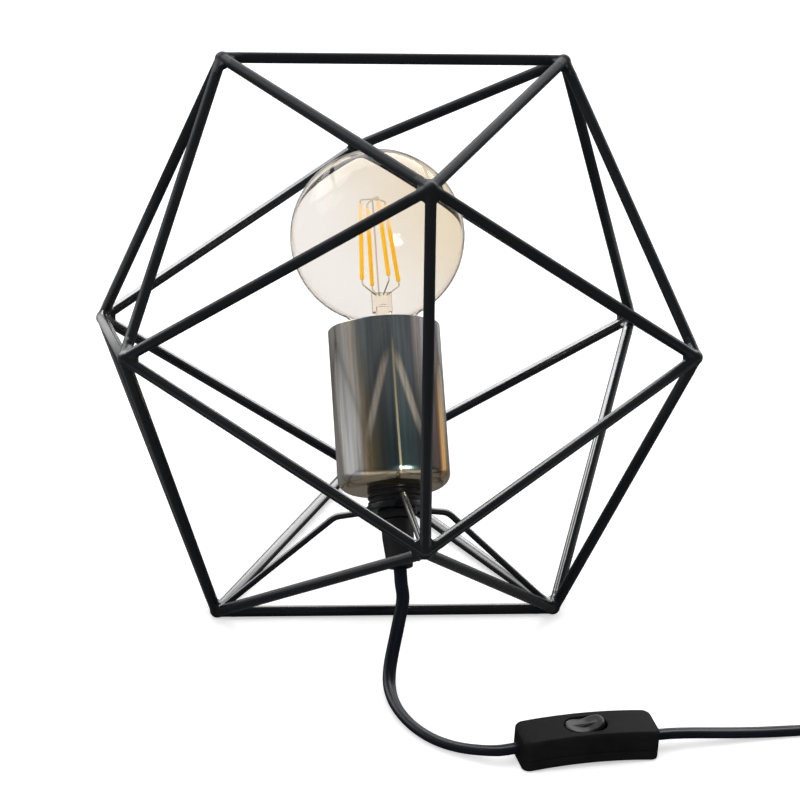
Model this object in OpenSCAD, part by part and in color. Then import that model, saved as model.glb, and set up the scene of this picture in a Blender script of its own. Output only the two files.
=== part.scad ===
// Wire table lamp: a welded wire cage of regular triangles with a lamp holder on a
// three-legged bracket, a globe lamp, a flat flex, a rocker switch in the flex and a plug.
// The lamp stands on the triangle of its three feet. Its holder axis crosses the cage
// from the lower front triangle to the upper back one. Units are millimetres.

/* [Cage] */
// Length of a cage rod, from corner to corner
cage_edge = 156; // [150:1:180]
// Diameter of a cage rod
rod_d = 5; // [4:0.25:6]
// How far the weld bead of a corner stands proud of the rods
bead_proud = 0.6; // [0.2:0.1:1.2]

/* [Bracket] */
// Diameter of a bracket leg's wire
leg_d = 3; // [2.5:0.25:3.5]
// Distance of the ring's underside from the plane of its triangle
ring_lift = 37; // [32:0.5:42]
// Diameter of the ring
ring_d = 26; // [22:0.5:30]
// Thickness of the ring
ring_t = 3; // [2:0.25:4]
// Distance from the holder axis to a leg's bend
leg_bend_r = 30; // [27:0.5:34]
// Radius of a leg's bend
leg_bend = 9; // [6:0.5:11]
// Sideways lean of the holder in its bracket, in degrees
holder_lean = 2; // [0:0.5:3]

/* [Lamp holder] */
// Outer diameter of the holder cup
cup_d = 51; // [48:0.5:56]
// Height of the holder cup
cup_h = 75; // [70:0.5:84]
// Wall of the holder cup
cup_wall = 1.2; // [0.8:0.1:2]
// Outer radius of the cup's bottom edge
cup_edge_r = 6; // [3:0.5:8]
// Diameter of the collar under the cup
collar_d = 25; // [20:0.5:28]
// Height of the collar under the cup
collar_h = 7; // [5:0.5:9]
// Outer diameter of the threaded tube
tube_d = 10; // [9.5:0.25:11]
// Bore of the threaded tube
tube_bore = 7.2; // [7:0.1:7.8]
// Size of the lock nut across its flats
nut_af = 16; // [14:0.5:19]
// Height of the lock nut
nut_h = 4; // [3:0.25:5]
// Largest diameter of the cord grip
grip_d = 14.4; // [13.4:0.2:16]
// Smallest diameter of the cord grip, at its outlet
grip_end_d = 11.6; // [10.6:0.2:13]
// Length of the cord grip
grip_l = 22; // [20:0.5:26]
// Diameter of the socket's insulating sleeve
sleeve_d = 39; // [36:0.5:42]
// Inner diameter of the socket's screw shell
shell_bore = 27.1; // [26.9:0.1:27.5]

/* [Lamp] */
// Diameter of the glass globe
globe_d = 80; // [70:1:84]
// Length of the lamp from its tip contact to the top of its globe
lamp_l = 118; // [112:1:122]
// Wall of the glass
glass_wall = 0.8; // [0.5:0.1:1.2]
// Diameter of the glass neck
neck_d = 29; // [28:0.5:32]
// Outer diameter of the cap's thread
cap_d = 26.3; // [25.9:0.1:26.5]
// Pitch of the cap's thread
cap_pitch = 3.63; // [3.4:0.01:3.8]
// Length of a light filament
filament_l = 38; // [34:1:42]
// Diameter of a light filament
filament_d = 1.9; // [1.4:0.1:2.2]

/* [Flex] */
// Width of the flat flex
flex_w = 6; // [5.6:0.1:6.2]
// Thickness of the flat flex
flex_t = 3.8; // [3.4:0.1:4]
// Middle radius of the put-away coil
coil_mid_r = 36; // [32:0.5:38]
// Turns of the put-away coil, in two layers
coil_turns = 6.25; // [5.25:1:7.25]
// Clear space between neighbouring turns
coil_gap = 0.6; // [0.45:0.05:1]

/* [Switch] */
// Length of the switch body
switch_l = 62; // [58:1:70]
// Width of the switch body
switch_w = 20; // [19:0.5:24]
// Height of the switch body
switch_h = 14.2; // [13.6:0.2:16]
// How far the middle of the arched body stands off the table
switch_arch = 2; // [1:0.25:3]
// Height of the switch base, up to the parting line
base_h = 5; // [4.6:0.1:5.4]
// Wall of the switch shells
switch_wall = 1.8; // [1.4:0.1:2]
// Length of the rocker
rocker_l = 17.6; // [16:0.2:19]
// Width of the rocker
rocker_w = 11.4; // [10:0.2:12]
// Full swing of the rocker, in degrees
rocker_swing = 16; // [12:1:18]

/* [Plug] */
// Width of the plug body
plug_w = 35; // [33:0.5:36]
// Thickness of the plug body
plug_t = 13.8; // [13:0.2:15]
// Length of the plug body
plug_l = 36; // [34:0.5:40]
// Length of the plug's tapered flex sleeve
plug_sleeve_l = 25; // [22:1:32]
// Diameter of a plug pin
pin_d = 4; // [3.8:0.1:4.2]
// Length of a plug pin outside the body
pin_l = 19; // [18:0.5:20]
// Distance between the two pin axes
pin_gap = 18.6; // [18:0.2:19]

/* [Hidden] */
$fn = 64;

// Clearances
run_gap = 0.05;
seat_gap = 0.3;
slip_gap = 0.2;

// Cage corners, as radius, direction and height over the feet
golden = (1 + sqrt(5)) / 2;
inner_r = cage_edge / sqrt(3);
outer_r = golden * inner_r;
bead_d = rod_d + 2 * bead_proud;
bead_n = 12;
foot_z = bead_d / 2 * cos(180 / bead_n);
level = [0, inner_r, outer_r, golden * outer_r];
function corner(r, turn, z) = [r * cos(turn), r * sin(turn), z + foot_z];
function ring_of_corners(r, first, z) = [for (k = [0:2]) corner(r, first + 120 * k, z)];
feet = ring_of_corners(inner_r, 90, level[0]);
low = ring_of_corners(outer_r, 270, level[1]);
high = ring_of_corners(outer_r, 90, level[2]);
top = ring_of_corners(inner_r, 270, level[3]);

// Rod ends. The back foot has no rod up to the high corner: that gap is the lamp's way in
base_ends = [for (k = [0:2]) [feet[k], feet[(k + 1) % 3]]];
lower_ends = [for (k = [0:2], side = [1, 2]) [feet[k], low[(k + side) % 3]]];
side_ends = [for (k = [1:2]) [feet[k], high[k]]];
waist_ends = [for (k = [0:2], side = [1, 2]) [low[k], high[(k + side) % 3]]];
upright_ends = [for (k = [0:2]) [low[k], top[k]]];
upper_ends = [for (k = [0:2], side = [1, 2]) [high[k], top[(k + side) % 3]]];
top_ends = [for (k = [0:2]) [top[k], top[(k + 1) % 3]]];
all_ends = concat(base_ends, lower_ends, side_ends, waist_ends, upright_ends, upper_ends, top_ends);
rod_trim = 1.4 * rod_d;
corners = concat(feet, low, high, top);

// Holder frame: Z runs along the holder axis from the middle of the lower front triangle
face_tilt = asin(2 / 3);
face_mid = (low[0] + feet[1] + feet[2]) / 3;
lean_at = ring_lift + ring_t + 5;
function turn_x(p, a) = [p.x, p.y * cos(a) - p.z * sin(a), p.y * sin(a) + p.z * cos(a)];
function turn_y(p, a) = [p.x * cos(a) + p.z * sin(a), p.y, p.z * cos(a) - p.x * sin(a)];
function turn_z(p, a) = [p.x * cos(a) - p.y * sin(a), p.x * sin(a) + p.y * cos(a), p.z];
function lean_point() = [0, 0, lean_at];
function leaned(p) = turn_y(p - lean_point(), -holder_lean) + lean_point();
function from_holder(p) = face_mid + turn_x(leaned(p), -face_tilt);
function to_holder(p) = turn_y(turn_x(p - face_mid, face_tilt) - lean_point(), holder_lean) + lean_point();

// Bracket legs, in the holder frame
leg_corners = [low[0], feet[1], feet[2]];
leg_trim = 3.4 * leg_d;
leg_z = ring_lift + ring_t / 2;
leg_bead_d = 1.5 * leg_d;
function leg_root(k) = to_holder(leg_corners[k]);
function leg_turn(k) = atan2(leg_root(k).y, leg_root(k).x);
function flat_root(k) = [norm([leg_root(k).x, leg_root(k).y]), leg_root(k).z];
function leg_way(k) = [leg_bend_r, leg_z] - flat_root(k);

// Heights along the holder axis
cup_z = ring_lift + ring_t + collar_h;
rim_z = cup_z + cup_h;
nut_z = ring_lift - nut_h;
grip_z = nut_z - grip_l;
tube_in_grip = 12;
tube_z = nut_z - tube_in_grip;
socket_base_h = 26;
base_top = cup_z + socket_base_h;
tube_in_cup = 11;
tube_top = cup_z + tube_in_cup;
floor_t = 4;
sleeve_below_rim = 9;
sleeve_top = rim_z - sleeve_below_rim;
shell_lift = 4;
shell_z = base_top + floor_t + shell_lift;
shell_below_sleeve = 2.5;
shell_top = sleeve_top - shell_below_sleeve;
lamp_in_cup = 34.5;
tip_z = rim_z - lamp_in_cup;
globe_z = tip_z + lamp_l - globe_d / 2;
cap_l = 26;
cap_top = tip_z + cap_l;
thread_lift = 6.5;
thread_z = tip_z + thread_lift;
cap_wall = 0.4;
thread_depth = 0.9;
cap_root_d = cap_d - 2 * thread_depth;
cap_skirt_gap = 0.25;
cap_skirt_r = shell_bore / 2 - cap_skirt_gap;
cap_thread_turns = 4;
core_d = 2.2;
tube_bite = 0.6;

// Neck: its bend into the globe ends above the cap, and a low globe widens the neck to meet it
neck_from_cap = 1;
neck_shoulder = 3;
neck_room = globe_z - cap_top - neck_from_cap - neck_shoulder;
neck_least_r = sqrt(max(0, pow(globe_d / 2 + 1, 2) - pow(neck_room, 2))) - 1;
neck_r = max(neck_d / 2, neck_least_r);
neck_reach = (pow(neck_room, 2) - pow(globe_d / 2, 2) + pow(neck_r, 2)) / (globe_d - 2 * neck_r);
neck_bend = min(8, neck_reach);
glass_foot_drop = 3;

// Filaments, round the stem
filament_n = 4;
filament_turn = 17;
filament_low_r = 9.2;
filament_high_r = 6.2;
filament_shift = 1.1;
filament_drop = 22;
filament_z = globe_z - filament_drop;
stem_drop = 27;
stem_top = globe_z - stem_drop;
press_h = 9;
mast_hub_lift = 1.6;

// Switch place: the middle of its underside on the table
switch_at = [74.4, -162.6, 0];
switch_turn = 8;
arch_r = (pow(switch_l / 2, 2) + pow(switch_arch, 2)) / (2 * switch_arch);
arch_z = switch_arch - arch_r;
entry_z = 7;
flex_in = 7;
pivot_x = -1;
pivot_z = switch_arch + switch_h - 3.4;
slot_gap = 0.3;
slot_end_gap = 0.9;
pivot_pin_d = 2;
seesaw_z = switch_arch + switch_wall + 1.4;
seesaw_l = 16;
seesaw_w = 4;
seesaw_t = 0.6;
seesaw_share = 0.75;
seesaw_tilt = rocker_swing / 2 * seesaw_share;
seesaw_low = seesaw_z - seesaw_l / 2 * sin(seesaw_tilt);
fulcrum_d = 1;
saddle_r = fulcrum_d / 2 + run_gap;
plunger_d = 2.4;
plunger_tip = seesaw_z + saddle_r + seesaw_t + 0.45;
function from_switch(p) = switch_at + turn_z(p, switch_turn);

// Routes of the flex, as points with the flex's roll in degrees, 0 where it lies flat
tie_t = 0.6;
coil_low = tie_t + 0.1 + flex_w / 2;
coil_lift = flex_w + coil_gap;
coil_step = flex_t + coil_gap;
coil_in_r = coil_mid_r - coil_step * coil_turns / 4;
coil_out_r = coil_in_r + coil_step * coil_turns / 2;
coil_start = [235, -147.2, 0];
coil_mid = coil_start + [0, coil_out_r, 0];
coil_steps = 24;
coil_n = coil_turns * coil_steps;
lead_l = flex_w;
grip_out = from_holder([0, 0, grip_z]);
lamp_route = [
    [grip_out, 0],
    [from_holder([0, 0, grip_z - 7]), 0],
    [from_holder([0.3, 0, grip_z - 14]), 0],
    [[0.2, -86.5, 24.4], 0],
    [[-1.8, -92, 17.8], 0],
    [[-3.7, -97.4, 12.1], 4],
    [[-5.2, -103, 7.6], 10],
    [[-6, -109.5, 4.5], 20],
    [[-5.9, -116.5, 3.1], 28],
    [[-5, -124, 2.6], 30],
    [[-3.1, -132, 2.6], 28],
    [[0.1, -140, 2.5], 24],
    [[4.6, -147.5, 2.5], 18],
    [[10.4, -154.2, 2.7], 12],
    [[17.6, -159.8, 3.3], 8],
    [[25.6, -164.1, 4.4], 4],
    [from_switch([-switch_l / 2 - 9, 0, entry_z - 0.5]), 0],
    [from_switch([-switch_l / 2, 0, entry_z]), 0],
    [from_switch([-switch_l / 2 + flex_in, 0, entry_z]), 0]
];
supply_route = [
    [from_switch([switch_l / 2 - flex_in, 0, entry_z]), 0],
    [from_switch([switch_l / 2, 0, entry_z]), 0],
    [from_switch([switch_l / 2 + 8, 0, entry_z - 0.1]), 0],
    [[122, -156, 6.3], 0],
    [[133, -154.4, 5.1], 0],
    [[144, -152.6, 3.8], 0],
    [[155, -150.9, 2.8], 0],
    [[166, -149.4, 2.2], 0],
    [[177, -148.3, 2], 6],
    [[188, -147.6, 2.3], 18],
    [[199, -147.2, 2.7], 38],
    [[209, -147.2, 3.1], 58],
    [[219, -147.2, 3.5], 78],
    [coil_start + [-lead_l, 0, coil_low], 90]
];
coil_exit = coil_mid + [coil_out_r, lead_l, coil_low + coil_lift];
plug_route = [
    [coil_exit, 90],
    [coil_exit + [0, 6, 0], 90],
    [coil_exit + [0, 13, -0.4], 68],
    [coil_exit + [0, 20, -1.1], 42],
    [coil_exit + [0, 27, -2], 18],
    [coil_exit + [0, 34, plug_t / 2 - coil_low - coil_lift + 0.2], 4],
    [coil_exit + [0, 41, plug_t / 2 - coil_low - coil_lift], 0]
];
plug_at = plug_route[len(plug_route) - 1][0];

function unit(v) = v / norm(v);
function smooth(x) = let (t = min(max(x, 0), 1)) t * t * (3 - 2 * t);

// Coil: the spiral runs in on the table, climbs where it reverses and runs out on top
function coil_r(t) = coil_in_r + coil_step * abs(t - coil_turns / 2);
function coil_z(t) = coil_low + coil_lift * smooth((t - coil_turns / 2) * 2 + 0.5);
function coil_point(t) =
    let (a = 360 * t - 90)
        coil_mid + [coil_r(t) * cos(a), coil_r(t) * sin(a), coil_z(t)];
coil_route = concat(
    [[coil_start + [-lead_l, 0, coil_low], 90]],
    [for (k = [0:coil_n]) [coil_point(k / coil_steps), 90]],
    [[coil_exit, 90]]
);

// Least gap from one turn to another, between the stadium sections of the standing flex
flex_core = flex_w - flex_t;
function section_gap(p, q) =
    let (aside = norm([p.x - q.x, p.y - q.y]), over = max(0, abs(p.z - q.z) - flex_core))
        norm([aside, over]) - flex_t;
coil_gaps = [
    for (i = [0:coil_n], j = [i + round(coil_steps * 3 / 4):coil_n])
        if (j <= coil_n) section_gap(coil_point(i / coil_steps), coil_point(j / coil_steps))
];
function route_length(r) = len(r) < 2 ? 0 : norms(r, 1);
function norms(r, k) = k >= len(r) ? 0 : norm(r[k][0] - r[k - 1][0]) + norms(r, k + 1);
union() {
    echo(least_gap_of_the_coil = min(coil_gaps));
    echo(flex_length = route_length(lamp_route) + switch_l + route_length(supply_route)
        + route_length(coil_route) + route_length(plug_route));
}

// Rings of a flat flex: five or three points round each end of its stadium section
function stadium(n) = [
    for (side = [0, 1], k = [0:n - 1])
        let (a = -90 + 180 * k / (n - 1) + 180 * side, out = side == 0 ? 1 : -1)
            [out * flex_core / 2 + flex_t / 2 * cos(a), flex_t / 2 * sin(a)]
];
function way_at(r, i) = unit(r[min(i + 1, len(r) - 1)][0] - r[max(i - 1, 0)][0]);
function ring_at(r, i, section) =
    let (
        way = way_at(r, i),
        across = unit(cross(way, [0, 0, 1])),
        upward = cross(across, way),
        wide = across * cos(r[i][1]) + upward * sin(r[i][1]),
        thick = upward * cos(r[i][1]) - across * sin(r[i][1])
    ) [for (q = section) r[i][0] + wide * q.x + thick * q.y];

module flat_tube(route, section) {
    n = len(section);
    last = len(route) - 1;
    points = [for (i = [0:last]) each ring_at(route, i, section)];
    walls = [
        for (i = [0:last - 1], k = [0:n - 1]) each [
            [i * n + k, i * n + (k + 1) % n, (i + 1) * n + k],
            [i * n + (k + 1) % n, (i + 1) * n + (k + 1) % n, (i + 1) * n + k]
        ]
    ];
    first_end = [[for (k = [n - 1:-1:0]) k]];
    last_end = [[for (k = [0:n - 1]) last * n + k]];
    polyhedron(points = points, faces = concat(walls, first_end, last_end));
}

module bar(p, q, d) {
    way = q - p;
    translate(p)
        rotate([0, acos(way.z / norm(way)), atan2(way.y, way.x)])
            cylinder(h = norm(way), d = d);
}

module trimmed_bar(p, q, d, trim) {
    way = unit(q - p);
    bar(p + way * trim, q - way * trim, d);
}

module pipe(d, bore, h) {
    difference() {
        cylinder(h = h, d = d);
        translate([0, 0, -1]) cylinder(h = h + 2, d = bore);
    }
}

module rods(ends) {
    color("#17171a")
        for (e = ends) trimmed_bar(e[0], e[1], rod_d, rod_trim);
}

module in_holder() {
    translate(face_mid)
        rotate([-face_tilt, 0, 0])
            translate(lean_point())
                rotate([0, -holder_lean, 0])
                    translate(-lean_point())
                        children();
}

module in_switch() {
    translate(switch_at)
        rotate([0, 0, switch_turn])
            children();
}

// Cage

module base_rods() rods(base_ends);

module lower_rods() rods(lower_ends);

module side_rods() rods(side_ends);

module waist_rods() rods(waist_ends);

module upright_rods() rods(upright_ends);

module upper_rods() rods(upper_ends);

module top_rods() rods(top_ends);

module corner_weld(p) {
    translate(p) sphere(d = bead_d);
    for (e = all_ends, k = [0, 1])
        if (norm(e[k] - p) < 1) bar(p, p + unit(e[1 - k] - p) * rod_trim, rod_d);
    for (k = [0:2])
        if (norm(leg_corners[k] - p) < 1) bar(p, leg_start(k), leg_d);
}

function leg_start(k) =
    let (q = flat_root(k) + leg_trim * unit(leg_way(k)))
        from_holder([q.x * cos(leg_turn(k)), q.x * sin(leg_turn(k)), q.y]);

module corner_welds() {
    color("#17171a")
        for (p = corners) corner_weld(p, $fn = bead_n);
}

// Bracket

module bracket_ring() {
    color("#17171a")
        in_holder() translate([0, 0, ring_lift]) pipe(ring_d, tube_d, ring_t);
}

// A leg in the plane of the holder axis: straight, round a bend and level to the ring
leg_arc_n = 6;
leg_sides = 16;
function leg_slope(k) = atan2(leg_way(k).y, -leg_way(k).x);
function leg_arc_mid(k) = [leg_bend_r - leg_bend * tan(leg_slope(k) / 2), leg_z - leg_bend];
function leg_path(k) = concat(
    [flat_root(k) + leg_trim * unit(leg_way(k))],
    arc(leg_arc_mid(k), leg_bend, 90 - leg_slope(k), 90, leg_arc_n),
    [[ring_d / 2 + 0.05, leg_z]]
);
function round_section(n, d) = [for (k = [0:n - 1]) d / 2 * [cos(360 * k / n), sin(360 * k / n)]];

module bracket_leg(k) {
    t = leg_turn(k);
    route = [for (q = leg_path(k)) [from_holder([q.x * cos(t), q.x * sin(t), q.y]), 0]];
    color("#17171a") flat_tube(route, round_section(leg_sides, leg_d));
}

// A weld fillet round the end of each leg, against the ring
module ring_welds() {
    fillet_l = 2;
    color("#17171a")
        in_holder() for (k = [0:2])
            rotate([0, 0, leg_turn(k)])
                translate([ring_d / 2 + 0.15, 0, leg_z])
                    rotate([0, 90, 0]) pipe(leg_bead_d, leg_d, fillet_l);
}

module bracket_leg_front() bracket_leg(0);

module bracket_leg_left() bracket_leg(1);

module bracket_leg_right() bracket_leg(2);

// Lamp holder, in the holder frame

module spacer_collar() {
    groove = 0.9;
    land = collar_h / 5;
    color("#1b1b1d")
        in_holder() translate([0, 0, ring_lift + ring_t]) difference() {
            pipe(collar_d, tube_d, collar_h);
            for (k = [1, 3])
                translate([0, 0, land * k]) pipe(collar_d + 2, collar_d - 2 * groove, land);
        }
}

module lock_nut() {
    color("#1b1b1d")
        in_holder() translate([0, 0, nut_z]) difference() {
            cylinder(h = nut_h, d = nut_af / cos(30), $fn = 6);
            translate([0, 0, -1]) cylinder(h = nut_h + 2, d = tube_d);
        }
}

module threaded_tube() {
    color("#9c9a94")
        in_holder() translate([0, 0, tube_z]) pipe(tube_d, tube_bore, tube_top - tube_z);
}

module cord_grip() {
    taper_h = grip_l - 8;
    color("#161618")
        in_holder() translate([0, 0, grip_z]) difference() {
            rotate_extrude() polygon([
                [0, 0], [grip_end_d / 2, 0], [grip_d / 2, taper_h], [grip_d / 2, grip_l - 1],
                [grip_d / 2 - 1, grip_l], [0, grip_l]
            ]);
            translate([0, 0, grip_l - tube_in_grip]) cylinder(h = tube_in_grip + 1, d = tube_d);
            translate([0, 0, -1]) cylinder(h = grip_l + 2, d = tube_bore);
            translate([0, 0, clamp_z]) rotate([0, 90, 0]) cylinder(h = grip_d, d = clamp_d);
        }
}

clamp_z = 4.6;
clamp_d = 3;
clamp_head_d = 4;
module clamp_screw() {
    color("#2a2a2c")
        in_holder() translate([0, 0, grip_z + clamp_z]) rotate([0, 90, 0]) difference() {
            union() {
                translate([0, 0, flex_w / 2 + slip_gap])
                    cylinder(h = grip_d / 2 - flex_w / 2 - slip_gap, d = clamp_d);
                translate([0, 0, grip_d / 2]) cylinder(h = 2, d = clamp_head_d);
            }
            translate([-clamp_head_d, -0.4, grip_d / 2 + 1]) cube([2 * clamp_head_d, 0.8, 2]);
        }
}

function arc(c, r, from, to, n = 12) = [
    for (k = [0:n])
        let (a = from + (to - from) * k / n)
            c + r * [cos(a), sin(a)]
];

module holder_cup() {
    r = cup_d / 2;
    inner_edge = cup_edge_r - cup_wall;
    color("#59554e")
        in_holder() translate([0, 0, cup_z]) rotate_extrude() difference() {
            union() {
                translate([tube_d / 2, 0]) square([r - cup_edge_r - tube_d / 2, cup_h]);
                translate([0, cup_edge_r]) intersection() {
                    square([r, cup_h]);
                    translate([tube_d / 2, 0]) square([r - tube_d / 2, cup_h - cup_edge_r]);
                }
                translate([r - cup_edge_r, cup_edge_r]) intersection() {
                    circle(r = cup_edge_r);
                    translate([0, -cup_edge_r]) square(cup_edge_r);
                }
            }
            translate([-1, cup_wall]) square([r - cup_wall - inner_edge + 1, cup_h]);
            translate([-1, cup_wall + inner_edge]) square([r - cup_wall + 1, cup_h]);
            translate([r - cup_edge_r, cup_edge_r]) circle(r = inner_edge);
        }
}

module socket_base() {
    r = sleeve_d / 2 - 1;
    cavity_r = r - 3;
    z0 = cup_z + cup_wall;
    color("#202022")
        in_holder() translate([0, 0, z0]) difference() {
            cylinder(h = base_top - z0, r = r);
            translate([0, 0, -1]) cylinder(h = base_top, d = tube_d);
            translate([0, 0, tube_top - z0]) cylinder(h = base_top, r = cavity_r);
        }
}

module socket_sleeve() {
    bore = shell_bore + 2 * cap_wall + 2 * tube_bite + 2 * slip_gap;
    color("#202022")
        in_holder() translate([0, 0, base_top]) difference() {
            cylinder(h = sleeve_top - base_top, d = sleeve_d);
            translate([0, 0, floor_t]) cylinder(h = sleeve_top, d = bore);
        }
}

// The shell's thread shows as round ribs on a plain bore, which the cap slides through
module screw_shell() {
    h = shell_top - shell_z;
    ribs = floor(h / cap_pitch) - 1;
    color("#c9a84f")
        in_holder() translate([0, 0, shell_z]) difference() {
            union() {
                cylinder(h = h, d = shell_bore + 2 * cap_wall);
                for (k = [1:ribs])
                    translate([0, 0, k * cap_pitch])
                        rotate_extrude()
                            translate([shell_bore / 2 + cap_wall, 0]) circle(r = tube_bite);
            }
            translate([0, 0, -1]) cylinder(h = h + 2, d = shell_bore);
        }
}

module centre_contact() {
    strip_t = 0.6;
    strip_w = 5;
    rise = tip_z - seat_gap - base_top - floor_t;
    color("#c9a84f")
        in_holder() translate([0, strip_w / 2, base_top + floor_t]) rotate([90, 0, 0])
            linear_extrude(strip_w) {
                translate([-5, 0]) square([9, strip_t]);
                translate([4 - strip_t, 0]) square([strip_t, rise]);
                translate([-3, rise - strip_t]) square([7, strip_t]);
            }
}

terminal_x = 8;
terminal_size = [6, 7, 7];
module socket_terminals() {
    color("#c9a84f")
        in_holder() for (side = [-1, 1])
            translate([side * terminal_x, 0, base_top - terminal_size.z / 2]) difference() {
                cube(terminal_size, center = true);
                rotate([90, 0, 0]) cylinder(h = terminal_size.y, d = clamp_d);
            }
}

module socket_screws() {
    color("#b9b7b0")
        in_holder() for (side = [-1, 1])
            translate([side * terminal_x, 0, base_top - terminal_size.z / 2]) rotate([90, 0, 0]) {
                cylinder(h = terminal_size.y / 2, d = clamp_d);
                translate([0, 0, terminal_size.y / 2]) cylinder(h = 1.6, d = 5);
            }
}

module stadium_bar(h) {
    linear_extrude(h) {
        square([flex_core, flex_t], center = true);
        for (side = [-1, 1]) translate([side * flex_core / 2, 0]) circle(d = flex_t);
    }
}

module holder_lead() {
    color("#141416")
        in_holder() translate([0, 0, grip_z]) stadium_bar(tube_top + 2 - grip_z);
}

module holder_cores() {
    colours = ["#5a3a22", "#2b4f8c"];
    clear = core_d / 2;
    in_holder() for (k = [0, 1]) {
        side = 2 * k - 1;
        color(colours[k])
            bar([side * flex_core / 2, 0, tube_top + 2 + clear],
                [side * terminal_x, 0, base_top - terminal_size.z - clear], core_d);
    }
}

// Lamp, in the holder frame

module globe_outline(wall) {
    r = globe_d / 2 - wall;
    neck = neck_r - wall;
    bend = neck_bend + wall;
    down = sqrt(pow(r + bend, 2) - pow(neck + bend, 2));
    join = atan2(down, neck + bend);
    foot_r = cap_skirt_r - cap_wall - slip_gap - wall;
    polygon(concat(
        [
            [0, cap_top - glass_foot_drop - wall], [foot_r, cap_top - glass_foot_drop - wall],
            [foot_r, cap_top + neck_from_cap]
        ],
        arc([neck + bend, globe_z - down], bend, 180, 180 - join, 8),
        arc([0, globe_z], r, -join, 90, 24)
    ));
}

module bulb_glass() {
    color("#f0dcc0", 0.4)
        in_holder() rotate_extrude() difference() {
            globe_outline(0);
            globe_outline(glass_wall);
        }
}

module cap_outline(inset) {
    thread_h = cap_thread_turns * cap_pitch;
    steps = cap_thread_turns * 8;
    wave = [
        for (k = [0:steps])
            [cap_root_d / 2 + (cap_d - cap_root_d) / 4 * (1 - cos(360 * k / 8)) - inset,
                thread_z + thread_h * k / steps]
    ];
    polygon(concat(
        [[0, thread_z - 2], [cap_root_d / 2 - 1.4 - inset, thread_z - 2]],
        wave,
        [[cap_skirt_r - inset, thread_z + thread_h + 1.5], [cap_skirt_r - inset, cap_top], [0, cap_top]]
    ));
}

module bulb_cap() {
    color("#c7c4bb")
        in_holder() rotate_extrude() difference() {
            cap_outline(0);
            translate([0, -0.01]) cap_outline(cap_wall);
            translate([-1, thread_z - 3]) square([cap_root_d / 2 - 1.6 - cap_wall + 1, 4]);
            translate([-1, cap_top - 1]) square([cap_skirt_r - cap_wall + 1, 2]);
        }
}

module cap_insulator() {
    color("#1c1a22")
        in_holder() rotate_extrude() polygon([
            [tip_r, tip_z + 1.2], [tip_r + 1, tip_z + 1.2], [cap_root_d / 2 - 2.2, thread_z - 2],
            [cap_root_d / 2 - 2.2, thread_z - 0.8], [tip_r, thread_z - 0.8]
        ]);
}

tip_r = 4.5;
module tip_contact() {
    color("#c9a84f")
        in_holder() rotate_extrude() polygon([
            [0, tip_z], [tip_r - 1.5, tip_z], [tip_r, tip_z + 1.2], [tip_r, tip_z + 2.4], [0, tip_z + 2.4]
        ]);
}

module glass_stem() {
    press = [9, 3.6];
    tube_r = 3.2;
    flare_t = 1.2;
    flare_z = cap_top - glass_foot_drop;
    color("#f2e6d2", 0.5)
        in_holder() {
            translate([0, 0, flare_z])
                cylinder(h = flare_t, r = cap_skirt_r - cap_wall - 2 * slip_gap - glass_wall);
            translate([0, 0, flare_z]) cylinder(h = stem_top - flare_z - press_h * 2 / 3, r = tube_r);
            translate([-press.x / 2, -press.y / 2, stem_top - press_h]) cube([press.x, press.y, press_h]);
        }
}

function filament_end(k, r, z, shift) =
    [r * cos(filament_turn + 90 * k) - shift, r * sin(filament_turn + 90 * k), z];
function filament_low(k) = filament_end(k, filament_low_r, filament_z, 0);
function filament_high(k) = filament_end(k, filament_high_r, filament_z + filament_l, filament_shift);

module light_filaments() {
    color("#f3b51b")
        in_holder() for (k = [0:filament_n - 1]) bar(filament_low(k), filament_high(k), filament_d);
}

// Wires: a lead from the press to each filament, and a mast whose hub bridges their tops
module filament_wires() {
    wire_d = 0.8;
    hub_d = 3;
    hub_h = 1.4;
    hub_z = filament_z + filament_l + mast_hub_lift;
    color("#b9b7b0")
        in_holder() {
            for (k = [0:filament_n - 1]) {
                a = filament_turn + 90 * k;
                bar([2.6 * cos(a), 1.2 * sin(a), stem_top - 1], filament_low(k), wire_d);
                bar(filament_high(k), [0.9 * cos(a) - filament_shift, 0.9 * sin(a), hub_z], wire_d);
            }
            translate([-filament_shift, 0, hub_z - hub_h / 2]) cylinder(h = hub_h, d = hub_d);
            bar([-filament_shift, 0, stem_top - 1], [-filament_shift, 0, hub_z - hub_h / 2], wire_d);
        }
}

// Flex

module lamp_cord() {
    color("#141416") flat_tube(lamp_route, stadium(5));
}

module supply_cord() {
    color("#141416") flat_tube(supply_route, stadium(5));
}

module cord_coil() {
    color("#141416") flat_tube(coil_route, stadium(3));
}

module plug_cord() {
    color("#141416") flat_tube(plug_route, stadium(5));
}

// Tie: a flat band round the whole bundle, at the far side of the coil
module coil_tie() {
    reach = coil_out_r - coil_in_r + flex_t + 2 * slip_gap;
    tall = 2 * flex_w + coil_gap + 2 * slip_gap;
    band = 4;
    color("#232326")
        translate(coil_mid)
            rotate([0, 0, 135])
                translate([coil_in_r - flex_t / 2 - slip_gap, band / 2, tie_t])
                    rotate([90, 0, 0])
                        linear_extrude(band) difference() {
                            translate([-tie_t, -tie_t]) square([reach + 2 * tie_t, tall + 2 * tie_t]);
                            square([reach, tall]);
                        }
}

// Plug, lying on the table behind the coil, with its pins towards the back

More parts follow.
